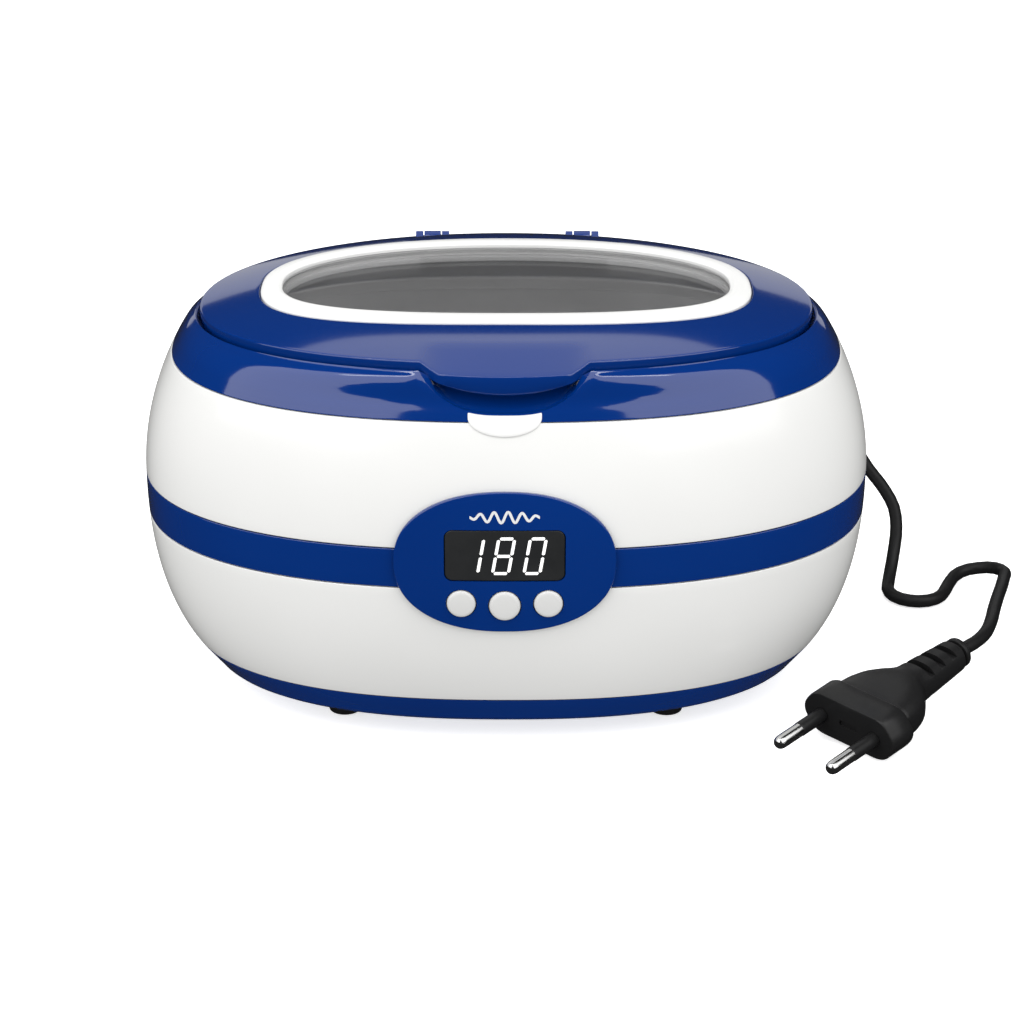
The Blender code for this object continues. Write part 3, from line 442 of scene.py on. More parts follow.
def lid_height(x, y):
    reach = (abs(x / LID_A) ** LID_POWER + abs(y / LID_B) ** LID_POWER) ** (1 / LID_POWER)
    edge = rim_height(atan2(y / LID_B, x / LID_A)) + EDGE_RISE
    return edge + (ROOF_Z - edge) * (1 - min(reach, 1.0) ** DOME_POWER)


def ease(t):
    t = max(0.0, min(1.0, t))
    return t * t * (3 - 2 * t)


def tongue_weight(x, y):
    return 0.0 if y > 0 else ease((TONGUE_HALF - abs(x)) / TONGUE_EASE)


def tongue_drop(x, y):
    """How far the tongue hangs below the rim, most at its middle."""
    return tongue_weight(x, y) * (TONGUE_HANG + max(0.0, 1 - (x / TONGUE_HALF) ** 2))


def open_panel(shell):
    """Cut the opening that the control bezel covers."""
    rings = []
    for y in (FRONT_NEAR_Y, FRONT_FAR_Y):
        ring = []
        for i in range(72):
            x, z = superellipse(PANEL_A - 1.3, PANEL_C - 1.3, PANEL_POWER, 2 * pi * i / 72)
            ring.append(Vector((x, y, z + PANEL_Z)))
        rings.append(ring)
    cut(shell, add_mesh("cutter", loft(rings), None))


def body_band(name, low, high, rows, mat, slot):
    lip = 0.3
    outer = [body_ring(z) for z in levels(low, high, rows)]
    inner = [body_ring(high, WALL), body_ring(low, WALL)]
    radii = [lip] + [0.0] * (rows - 1) + [lip, 0.0, 0.0]
    band = add_mesh(name + "_skin", loft(soften(outer + inner, radii, True), closed=True), mat)
    open_panel(band)
    return piece(band, "housing", slot, name)


# ---------------------------------------------------------------- housing

def make_base(mats):
    floor = 2.2
    under = [plan_ring(20.0, 14.0, BODY_POWER, TRAY_Z), plan_ring(66.0, 45.0, BODY_POWER, TRAY_Z),
             plan_ring(74.5, 51.8, BODY_POWER, TRAY_Z + 0.5)]
    outer = curve_rings(under[1:] + [body_ring(z) for z in (7.2, 11.0)], 5)
    outer.append(body_ring(BASE_LINE_Z - JOINT_GAP))
    inner = [body_ring(z, WALL) for z in (BASE_LINE_Z - JOINT_GAP, 11.0, 9.2)]
    inner.append(plan_ring(72.0, 49.0, BODY_POWER, TRAY_Z + floor))
    rings = under[:1] + outer + inner
    radii = [0.0] * len(outer) + [0.3] + [0.0] * len(inner)
    tray = add_mesh("base_tray_skin", loft(soften(rings, radii)), mats["blue"])
    for sx in (-1, 1):
        for sy in (-1, 1):
            x, y = sx * SCREW_XY[0], sy * SCREW_XY[1]
            cut(tray, cutter_cylinder((x, y, 0), 5.2, 5.8, 16.2), "UNION")
            cut(tray, cutter_cylinder((x, y, 0), 3.6, 1.0, 12.0))
            cut(tray, cutter_cylinder((x, y, 0), 1.9, 1.0, 18.0))
            cut(tray, cutter_cylinder((sx * FOOT_XY[0], sy * FOOT_XY[1], 0), 5.3, -1.0, 5.8))
    for i in range(-3, 4):
        cut(tray, cutter_block((i * 7.0 - 1.4, -12.0, 0.0), (i * 7.0 + 1.4, 12.0, 9.2)))
    piece(tray, "housing", "blue_plastic", "base_tray")


def make_feet(mats):
    for side, sx in (("left", -1), ("right", 1)):
        for end, sy in (("front", -1), ("rear", 1)):
            profile = [(0.8, 0.25), (3.2, 0.2), (3.6, 0.0), (4.3, 0.0), (4.7, 0.4),
                       (5.0, 5.5), (1.0, 5.5)]
            centre = (sx * FOOT_XY[0], sy * FOOT_XY[1], 0)
            rings = soften(turned(profile, centre), [0.0, 0.2, 0.2, 0.3, 0.4, 0.2, 0.0])
            name = f"foot_{end}_{side}"
            piece(add_mesh(name + "_pad", loft(rings), mats["rubber"]), "housing", "black_rubber", name)


def scoop_edge(x, top):
    """Height of the finger recess's lip, rising to the rim at its ends."""
    reach = abs(x) / SCOOP_HALF
    return SCOOP_LOW_Z + (top - SCOOP_LOW_Z) * reach ** 3.2


def make_top_housing(mats):
    low = BLUE_LINE_Z + JOINT_GAP
    lip_a, lip_b = LID_A + 1.6, LID_B + 1.5
    shape = [body_ring(low), body_ring(102.4), body_ring(105.0),
             plan_ring(91.8, 65.2, 2.2, lambda x, y, t: rim_height(t) - 3.4),
             plan_ring(lip_a + 0.3, lip_b + 0.25, LID_POWER, lambda x, y, t: rim_height(t) - 1.5),
             plan_ring(lip_a - 0.3, lip_b - 0.3, LID_POWER, lambda x, y, t: rim_height(t) - 1.0)]
    outer = curve_rings(shape, 5)
    step = plan_ring(LID_A + 0.7, LID_B + 0.6, LID_POWER, lambda x, y, t: rim_height(t) - 1.5)
    ledge_out = plan_ring(LID_A + 0.5, LID_B + 0.4, LID_POWER, lambda x, y, t: rim_height(t) - 4.6)
    ledge_in = plan_ring(LID_A - 3.0, LID_B - 3.2, LID_POWER, lambda x, y, t: rim_height(t) - LEDGE_DROP)
    wall = [blend_ring(step, ledge_out, k / 7) for k in range(8)]
    shape_recess(outer, wall, ledge_in)
    deck = [plan_ring(TANK_A + 1.2, TANK_B + 1.2, TANK_POWER, DECK_Z, TANK_Y),
            plan_ring(TANK_A - 0.2, TANK_B - 0.2, TANK_POWER, DECK_Z - 0.6, TANK_Y),
            plan_ring(TANK_A - 0.2, TANK_B - 0.2, TANK_POWER, TANK_RIM_Z + 0.5, TANK_Y),
            plan_ring(TANK_A + 6.5, TANK_B + 6.5, 2.5, TANK_RIM_Z + 0.5, TANK_Y * 0.5),
            plan_ring(LID_A - 1.0, LID_B - 1.0, 2.35, 103.2),
            body_ring(low + 1.6, WALL), body_ring(low, WALL)]
    rings = outer + wall + [ledge_in] + deck
    radii = [0.3] + [0.0] * (len(outer) - 2) + [0.5, 0.3] + [0.0] * (len(wall) + len(deck))
    housing = add_mesh("top_housing_skin", loft(soften(rings, radii, True), closed=True), mats["blue"])
    ear = [(62.2, 103.8), (64.4, 103.8), (68.5, 108.2), (68.6, 110.0), (67.9, 111.7), (66.2, 112.4),
           (64.5, 111.7), (62.2, 110.3)]
    for sx in (-1, 1):
        x = sx * HINGE_X
        lug = loft([[Vector((x + dx, y, z)) for y, z in ear] for dx in (-5.1, 5.1)])
        cut(housing, add_mesh("cutter", lug, None), "UNION")
        cut(housing, cutter_block((x - 2.9, 60.2, 106.4), (x + 2.9, 72.0, 120.0)))
        cut(housing, cutter_cylinder((x, HINGE_Y, HINGE_Z), 1.15, -7.0, 7.0, "X"))
    piece(housing, "housing", "blue_plastic", "top_housing")


def shape_recess(outer, wall, ledge_in):
    """Shape the finger recess: lower the front wall's lip and scoop out a bowl behind it."""
    for i, top in enumerate(outer[-1]):
        if top.y > 0 or abs(top.x) >= SCOOP_HALF:
            continue
        slide_down(outer, i, scoop_edge(top.x, top.z))
        lip = outer[-1][i]
        weight = ease((SCOOP_HALF - abs(top.x)) / 5.0)
        foot, inner = wall[-1][i], ledge_in[i]
        inner.y += (BOWL_BACK_Y + 0.4 - inner.y) * weight
        back = Vector((foot.x, foot.y + (BOWL_BACK_Y - foot.y) * weight, foot.z))
        for k, ring in enumerate(wall):
            turn = pi / 2 * (k + 1) / len(wall)
            bowl = Vector((lip.x + (back.x - lip.x) * sin(turn), lip.y + (back.y - lip.y) * sin(turn),
                           lip.z + (back.z - lip.z) * (1 - cos(turn))))
            ring[i] = ring[i].lerp(bowl, weight)
        wall[-1][i] = back


def slide_down(outer, i, edge_z):
    """Pack one column of rows below edge_z, so that its last row lies on the recess's lip."""
    column = [ring[i].copy() for ring in outer]
    spans = [0.0]
    for p, q in zip(column, column[1:]):
        spans.append(spans[-1] + (q - p).length)
    stop = spans[-1]
    for k in range(len(column) - 1):
        if column[k].z <= edge_z <= column[k + 1].z:
            t = (edge_z - column[k].z) / (column[k + 1].z - column[k].z)
            stop = spans[k] + t * (spans[k + 1] - spans[k])
    for ring, span in zip(outer, spans):
        want = stop * span / spans[-1]
        j = max(m for m in range(len(spans) - 1) if spans[m] <= want + 1e-9)
        t = (want - spans[j]) / (spans[j + 1] - spans[j])
        ring[i] = column[j].lerp(column[j + 1], t)


def make_body(mats):
    make_base(mats)
    make_feet(mats)
    body_band("lower_shell", BASE_LINE_Z + JOINT_GAP, STRIPE_LOW_Z - JOINT_GAP, 14, mats["white"],
              "white_plastic")
    body_band("waist_band", STRIPE_LOW_Z + JOINT_GAP, WAIST_Z - JOINT_GAP, 6, mats["blue"],
              "blue_plastic")
    body_band("upper_shell", WAIST_Z + JOINT_GAP, BLUE_LINE_Z - JOINT_GAP, 14, mats["white"],
              "white_plastic")
    make_top_housing(mats)
    make_thumb_insert(mats)


def front_rings(outline, layers):
    """Rings of a plate that follows the front surface, from (scale, proud) pairs."""
    middle = sum(z for x, z in outline) / len(outline)
    return [[Vector((x * scale, front_y(x * scale, middle + (z - middle) * scale) - proud,
                     middle + (z - middle) * scale)) for x, z in outline] for scale, proud in layers]


def make_thumb_insert(mats):
    """A smile-shaped white insert whose top follows the recess's lip."""
    half, tip_z, low_z, count = 10.0, 101.1, 96.2, 60
    outline = []
    for i in range(2 * count):
        u = -1 + 2 * (i % count + 0.5) / count
        u = u if i < count else -u
        x = half * sin(pi * u / 2)
        if i < count:
            z = tip_z - (tip_z - low_z) * max(0.0, 1 - (abs(x) / half) ** 2) ** 0.5
        else:
            top = scoop_edge(x, RIM_FRONT_Z - 1.0) - 0.35
            z = tip_z + (top - tip_z) * (1 - abs(u) ** 7) ** (1 / 7)
        outline.append((x, z))
    layers = [(0.5, -0.6), (1.0, -0.6), (1.0, 0.3), (0.9, 0.5), (0.7, 0.55), (0.4, 0.6)]
    rings = soften(front_rings(outline, layers), [0.0, 0.0, 0.3, 0.0, 0.0, 0.0])
    piece(add_mesh("thumb_crescent", loft(rings), mats["pale"]),
          "housing", "white_plastic", "thumb_insert")


# ---------------------------------------------------------------- lid

def on_lid(ring, lift):
    return [Vector((p.x, p.y, lid_height(p.x, p.y) + lift)) for p in ring]


def make_lid(mats):
    edge = plan_ring(LID_A, LID_B, LID_POWER, 0.0)
    window = plan_ring(RING_IN_A + 1.6, RING_IN_B + 1.6, RING_IN_POWER, 0.0, RING_Y)
    seat = plan_ring(RING_OUT_A + 0.4, RING_OUT_B + 0.4, RING_OUT_POWER, 0.0, RING_Y)

    def rim(inset, drop):
        ring = []
        for p in edge:
            weight = tongue_weight(p.x, p.y)
            scale = 1 - inset / LID_A
            y = p.y * (1 - inset / LID_B) - TONGUE_REACH * weight
            smile = 0.25 + 1.0 * max(0.0, 1 - (p.x / 21.0) ** 2)
            z = (rim_height(atan2(p.y / LID_B, p.x / LID_A)) - tongue_drop(p.x, p.y)
                 - drop * (1 + (smile - 1) * weight))
            ring.append(Vector((p.x * scale, y, z)))
        return ring

    def top(t, lift):
        ring = blend_ring(edge, seat, t)
        lifted = on_lid(ring, lift)
        for p in lifted:
            fade = max(0.0, 1 - t / 0.45)
            p.z -= tongue_drop(p.x, p.y) * fade
            p.y -= TONGUE_REACH * tongue_weight(p.x, p.y) * fade
        return lifted

    outer = [rim(0.5, 3.4), rim(0.0, 2.6), rim(0.0, 0.0), top(0.0, 0.0)]
    outer += [top(t, 0.0) for t in (0.06, 0.1, 0.15, 0.2, 0.27, 0.35, 0.45,
                                    0.55, 0.65, 0.75, 0.85, 0.93, 1.0)]
    outer += [on_lid(seat, -1.2), on_lid(window, -1.2), on_lid(window, -3.6)]
    inner = [top(t, -2.2 - (1.4 if t == 1.0 else 0.6)) for t in (1.0, 0.6, 0.25)]
    inner += [rim(3.0, 1.9), rim(2.6, 3.4)]
    rings = outer + inner
    radii = [0.4, 0.0, 0.0, 0.5] + [0.0] * 12 + [0.25] + [0.0] * 3 + [0.0] * len(inner)
    lid = add_mesh("lid_skin", loft(soften(rings, radii, True), closed=True), mats["blue"])
    for sx in (-1, 1):
        x = sx * HINGE_X
        cut(lid, cutter_cylinder((x, HINGE_Y, HINGE_Z), 2.4, -2.5, 2.5, "X"), "UNION")
        cut(lid, cutter_block((x - 2.48, 57.5, HINGE_Z - 1.4), (x + 2.48, HINGE_Y, HINGE_Z + 1.3)),
            "UNION")
        cut(lid, cutter_cylinder((x, HINGE_Y, HINGE_Z), 1.25, -9.0, 9.0, "X"))
    piece(lid, "lid", "blue_plastic", "lid_shell")

    out = plan_ring(RING_OUT_A, RING_OUT_B, RING_OUT_POWER, 0.0, RING_Y)
    inn = plan_ring(RING_IN_A, RING_IN_B, RING_IN_POWER, 0.0, RING_Y)
    shape = [(0.0, -0.9), (0.0, 0.2), (0.12, 0.6), (0.35, 0.8), (0.6, 0.85), (0.85, 0.65),
             (1.0, 0.15), (1.0, -0.9)]
    rings = [on_lid(blend_ring(out, inn, t), lift) for t, lift in shape]
    rings = soften(rings, [0.0, 0.3, 0.3, 0.3, 0.3, 0.3, 0.4, 0.0], True)
    piece(add_mesh("window_frame_ring", loft(rings, closed=True), mats["pale"]), "lid",
          "white_plastic", "lid_window_frame")

    def opening(grow):
        return plan_ring(RING_IN_A + grow, RING_IN_B + grow, RING_IN_POWER, 0.0, RING_Y)

    section = [(0.4, -1.05), (1.45, -1.05), (1.45, -3.75), (3.4, -3.75), (3.4, -4.9), (-0.6, -4.9),
               (-0.6, -3.45), (0.4, -3.45)]
    rings = soften([on_lid(opening(grow), lift) for grow, lift in section],
                   [0.0, 0.0, 0.0, 0.2, 0.2, 0.35, 0.35, 0.0], True)
    piece(add_mesh("window_seal_ring", loft(rings, closed=True), mats["seal"]), "lid", "grey_plastic",
          "window_seal")

    pane_ring = plan_ring(RING_IN_A + 0.25, RING_IN_B + 0.25, RING_IN_POWER, 0.0, RING_Y)
    middle = [Vector((0, RING_Y, 0))] * SEGMENTS
    scales = (0.02, 0.1, 0.25, 0.4, 0.6, 0.8, 0.985)
    above = [on_lid(blend_ring(middle, pane_ring, t), -1.3) for t in scales]
    under = [on_lid(blend_ring(middle, pane_ring, t), -3.3) for t in reversed(scales)]
    rings = above + [on_lid(pane_ring, -1.5), on_lid(pane_ring, -3.1)] + under
    pane = add_mesh("window_pane", loft(rings), mats["window"])
    pane.visible_shadow = False
    piece(pane, "lid", "smoked_window", "lid_window")


# ---------------------------------------------------------------- tank

def make_tank(mats):
    def ring(grow, z):
        return plan_ring(TANK_A + grow, TANK_B + grow, TANK_POWER, z, TANK_Y)

    floor_z = TANK_RIM_Z - TANK_DEPTH
    s = TANK_SHEET
    inside = [ring(-0.4, TANK_RIM_Z), ring(-1.2, TANK_RIM_Z - 1.6), ring(-4.6, floor_z + 8.2),
              ring(-7.4, floor_z + 1.8), ring(-12.8, floor_z)]
    outside = [ring(-12.5, floor_z - s), ring(-6.5, floor_z + 1.2), ring(-3.8, floor_z + 8.0),
               ring(-0.4, TANK_RIM_Z - 2.0), ring(0.3, TANK_RIM_Z - s)]
    rings = [ring(-30, floor_z - s), *outside, ring(3.6, TANK_RIM_Z - s), ring(3.6, TANK_RIM_Z),
             *inside, ring(-30, floor_z)]
    radii = [0, 2.0, 2.0, 0, 0, 0.4, 0, 0, 0.5, 0.5, 3.0, 2.0, 3.0, 0]
    piece(add_mesh("tank_bowl", loft(soften(rings, radii)), mats["tank_steel"]),
          "housing", "steel", "tank")

    def raised(points, lift):
        return [p + Vector((0, 0, lift)) for p in points]

    ledge_in = plan_ring(LID_A - 3.0, LID_B - 3.2, LID_POWER, lambda x, y, t: rim_height(t) - LEDGE_DROP)
    deck_in = plan_ring(TANK_A + 1.2, TANK_B + 1.2, TANK_POWER, DECK_Z, TANK_Y)
    outer = blend_ring(ledge_in, deck_in, 0.36)
    rings = [raised(outer, 0.15), raised(deck_in, 0.15), ring(-1.6, DECK_Z - 0.2), ring(-1.6, 100.5),
             ring(-2.3, 100.5), ring(-2.3, DECK_Z + 0.2), ring(-0.4, DECK_Z + 0.7), raised(outer, 0.8)]
    rings = soften(rings, [0.2, 0.0, 0.3, 0.3, 0.3, 1.2, 1.2, 0.25], True, 6)
    piece(add_mesh("tank_trim_ring", loft(rings, closed=True), mats["tank_steel"]), "housing", "steel",
          "tank_trim")


# ---------------------------------------------------------------- control panel

def rounded_rect(width, height, corner, centre_z, side_steps=14, corner_steps=8):
    """Outline points of a rounded rectangle on the front, anticlockwise from the lower right."""
    points = []
    for sx, sz, start in ((1, -1, -90), (1, 1, 0), (-1, 1, 90), (-1, -1, 180)):
        cx, cz = sx * (width / 2 - corner), sz * (height / 2 - corner)
        for k in range(corner_steps + 1):
            t = radians(start + 90 * k / corner_steps)
            points.append((cx + corner * cos(t), centre_z + cz + corner * sin(t)))
        if sx == sz:
            run = (width if sz > 0 else -width) - 2 * corner * sz
            for k in range(1, side_steps):
                points.append((cx - run * k / side_steps, centre_z + sz * height / 2))
    return points


def oval_outline(a, c, power, centre_z, count=160):
    places = [superellipse(a, c, power, 2 * pi * i / count) for i in range(count)]
    return [(x, centre_z + z) for x, z in places]


def front_cutter(outline):
    return add_mesh("cutter", loft([[Vector((x, y, z)) for x, z in outline]
                                    for y in (FRONT_NEAR_Y, FRONT_FAR_Y)]), None)


def make_panel(mats):
    outline = oval_outline(PANEL_A, PANEL_C, PANEL_POWER, PANEL_Z)
    layers = [(0.3, 0.05), (0.6, 0.05), (0.985, 0.05), (0.985, 0.4), (1.0, 0.4), (1.0, 1.5), (0.96, 1.5),
              (0.8, 1.5), (0.55, 1.5), (0.3, 1.5)]
    rings = soften(front_rings(outline, layers), [0.0, 0.0, 0.0, 0.0, 0.15, 0.55, 0.0, 0.0, 0.0, 0.0])
    bezel = add_mesh("control_bezel_skin", loft(rings), mats["blue"])
    cut(bezel, front_cutter(rounded_rect(LENS_W + 0.5, LENS_H + 0.5, 2.35, LENS_Z)))
    for name, x, z, r in buttons():
        cut(bezel, cutter_cylinder((x, 0, z), r + 0.28, FRONT_FAR_Y, FRONT_NEAR_Y, "Y"))
    piece(bezel, "housing", "blue_plastic", "control_bezel")

    outline = rounded_rect(LENS_W, LENS_H, 2.1, LENS_Z)
    layers = [(0.4, 0.25), (1.0, 0.25), (1.0, 1.35), (0.97, 1.42), (0.7, 1.42), (0.4, 1.42)]
    rings = soften(front_rings(outline, layers), [0.0, 0.0, 0.2, 0.15, 0.0, 0.0])
    piece(add_mesh("display_window", loft(rings), mats["display"]), "housing",
          "display_glass", "display_lens")
    make_digits(mats)
    make_wave_mark(mats)
    for name, x, z, r in buttons():
        y = front_y(x, z)
        profile = [(0.6, -2.42), (r * 0.45, -2.40), (r * 0.8, -2.30), (r - 0.2, -2.05), (r, -1.5), (r, 0.9),
                   (r + 0.9, 0.9), (r + 0.9, 1.7), (1.6, 1.7), (1.6, SWITCH_CAP_Y - y - 1.2),
                   (1.2, SWITCH_CAP_Y - y - 1.0)]
        rings = turned([(radius, y + along) for radius, along in profile], (x, 0, z), "Y", 64)
        radii = [0.0, 0.0, 0.3, 0.5, 0.2] + [0.0] * 6
        button = add_mesh(name + "_cap", loft(soften(rings, radii)), mats["button"])
        piece(button, name.replace("button", "key"), "white_plastic", name)


def buttons():
    """Name, place and radius of each push button."""
    for i, name in enumerate(("set_button", "on_button", "off_button")):
        middle = i == 1
        yield (name, (i - 1) * BUTTON_PITCH, BUTTON_Z - (0.6 if middle else 0.0),
               CENTRE_BUTTON_R if middle else BUTTON_R)


def front_film(outlines, proud, thickness):
    """Thin raised shapes on the front, one closed solid for each outline."""
    bm = bmesh.new()
    for outline in outlines:
        rows = [[bm.verts.new((x, front_y(x, z) - p, z)) for x, z in outline]
                for p in (proud, proud + thickness)]
        count = len(outline)
        for i in range(count):
            j = (i + 1) % count
            bm.faces.new((rows[0][i], rows[0][j], rows[1][j], rows[1][i]))
        bm.faces.new(rows[0])
        bm.faces.new(rows[1])
    return bm


def make_digits(mats):
    """Slanted seven-segment digits that stand on the display window."""
    half_w, half_h, thick, gap, slant = 2.15, 5.1, 0.85, 0.28, 0.17
    ends = {"top": ((-1, 2), (1, 2)), "middle": ((-1, 0), (1, 0)), "bottom": ((-1, -2), (1, -2)),
            "upper_left": ((-1, 0), (-1, 2)), "upper_right": ((1, 0), (1, 2)),
            "lower_left": ((-1, -2), (-1, 0)), "lower_right": ((1, -2), (1, 0))}
    eight = set(ends)
    shown = {-8.65: {"upper_right", "lower_right"}, -0.3: eight, 8.25: eight - {"middle"}}
    outlines = []
    for centre, segments in shown.items():
        for name in sorted(segments):
            (x0, z0), (x1, z1) = ends[name]
            start = Vector((x0 * half_w, z0 * half_h / 2))
            end = Vector((x1 * half_w, z1 * half_h / 2))
            along = (end - start).normalized()
            across = Vector((-along.y, along.x)) * thick / 2
            inset = along * (thick / 2 + gap / 2)
            a, b = start + along * gap, end - along * gap
            corners = [a, start + inset - across, end - inset - across, b, end - inset + across,
                       start + inset + across]
            outlines.append([(centre + p.x + slant * p.y, LENS_Z + p.y) for p in corners])
    digits = add_mesh("display_digits", front_film(outlines, 1.38, 0.07), mats["lit"], 20)
    piece(digits, "housing", "display_glass")


def make_wave_mark(mats):
    """A generic wave sign above the display: a ripple that fades towards its ends."""
    half, z, stroke, count = 9.5, 75.2, 0.36, 96
    height, pitch = 1.55, 3.8
    upper, lower = [], []
    for i in range(count + 1):
        x = half * (2 * i / count - 1)
        fade = cos(pi * x / (2 * half)) ** 0.6 if abs(x) < half - 0.001 else 0.0
        swing = height * fade * sin(2 * pi * x / pitch)
        slope = height * fade * 2 * pi / pitch * cos(2 * pi * x / pitch)
        normal = Vector((-slope, 1.0)).normalized() * stroke
        upper.append((x + normal.x, z + swing + normal.y))
        lower.append((x - normal.x, z + swing - normal.y))
    mark = add_mesh("wave_mark", strip_film(upper, lower, 1.48, 0.06), mats["mark"])
    piece(mark, "housing", "white_plastic")


def strip_film(upper, lower, proud, thickness):
    """A thin raised ribbon between two lines on the front."""
    def row(points, out):
        return [bm.verts.new((x, front_y(x, z) - out, z)) for x, z in points]

    bm = bmesh.new()
    lines = [row(lower, proud), row(lower, proud + thickness),
             row(upper, proud + thickness), row(upper, proud)]
    for p, q in zip(lines, lines[1:] + lines[:1]):
        for i in range(len(p) - 1):
            bm.faces.new((p[i], p[i + 1], q[i + 1], q[i]))
    for end in (0, -1):
        bm.faces.new([line[end] for line in lines])
    return bm


# ---------------------------------------------------------------- mains lead

CORD_RADIUS = 2.0
PLUG_AT = (96.4, -64.6, 7.6)
PLUG_HEADING, PLUG_TILT, PLUG_ROLL = radians(-136.0), radians(8.5), radians(-3.0)
PIN_PITCH, PIN_END, PIN_RADIUS, SLEEVE_LENGTH = 19.0, 19.6, 2.0, 10.0
CORD_ROUTE = (
    (87.39, 64.46, 59.2), (90.47, 68.4, 59.2), (93.54, 72.34, 59.2), (97.6, 75.9, 57.5),
    (101.8, 77.3, 52.6), (106.4, 75.8, 45.6), (110.7, 73.2, 38.8), (115.2, 70.6, 32.2),
    (119.8, 68.0, 26.8), (123.2, 64.8, 21.2), (123.9, 61.3, 15.1), (122.9, 57.2, 9.2),
    (121.4, 51.8, 4.4), (120.3, 47.0, 2.3), (119.9, 42.9, 2.0), (121.1, 38.5, 2.0),
    (124.4, 35.3, 2.0), (128.9, 34.3, 2.0), (133.2, 35.7, 2.0), (136.2, 39.1, 2.0),
    (138.0, 43.6, 2.0), (139.9, 48.6, 2.2), (142.2, 52.8, 2.8), (145.6, 55.2, 3.5),
    (149.9, 55.5, 4.2), (153.7, 54.0, 5.0), (156.3, 50.4, 5.7), (156.8, 46.1, 6.4),
    (155.2, 38.4, 8.2), (152.8, 27.5, 10.2), (149.8, 15.5, 12.0), (146.8, 3.0, 13.6),
    (144.2, -8.5, 14.9), (141.2, -18.5, 15.7), (137.4, -25.3, 15.8), (132.2, -30.05, 15.1),
)


def smooth_route(points, spacing):
    """Evenly spaced points on a Catmull-Rom curve through the given ones."""
    pts = [Vector(p) for p in points]
    pts = [pts[0] * 2 - pts[1], *pts, pts[-1] * 2 - pts[-2]]
    fine = []
    for p0, p1, p2, p3 in zip(pts, pts[1:], pts[2:], pts[3:]):
        for k in range(24):
            t = k / 24
            fine.append(0.5 * (2 * p1 + (p2 - p0) * t + (2 * p0 - 5 * p1 + 4 * p2 - p3) * t * t
                               + (3 * p1 - p0 - 3 * p2 + p3) * t ** 3))
    fine.append(pts[-2])
    lengths = [0.0]
    for p, q in zip(fine, fine[1:]):
        lengths.append(lengths[-1] + (q - p).length)
    count = round(lengths[-1] / spacing)
    result, k = [], 0
    for i in range(count + 1):
        want = lengths[-1] * i / count
        while k < len(fine) - 2 and lengths[k + 1] < want:
            k += 1
        result.append(fine[k].lerp(fine[k + 1], (want - lengths[k]) / (lengths[k + 1] - lengths[k])))
    return result


def rounded_polygon(corners, radius, steps=5):
    """Points round a convex outline whose corners are rounded."""
    points = []
    for k, corner in enumerate(corners):
        here = Vector(corner)
        before, after = Vector(corners[k - 1]), Vector(corners[(k + 1) % len(corners)])
        start = here + (before - here).normalized() * radius
        end = here + (after - here).normalized() * radius
        onward = after + (here - after).normalized() * radius
        for i in range(steps + 1):
            t = i / steps
            points.append(start * (1 - t) ** 2 + here * 2 * t * (1 - t) + end * t * t)
        points += [end.lerp(onward, i / steps) for i in range(1, steps)]
    return points


def plug_outline(half_width, half_height, shoulder):
    """The flattened hexagon of a flat two-pin plug's face."""
    corners = [(half_width, 0.0), (shoulder, half_height), (-shoulder, half_height),
               (-half_width, 0.0), (-shoulder, -half_height), (shoulder, -half_height)]
    return rounded_polygon(corners, 3.4)


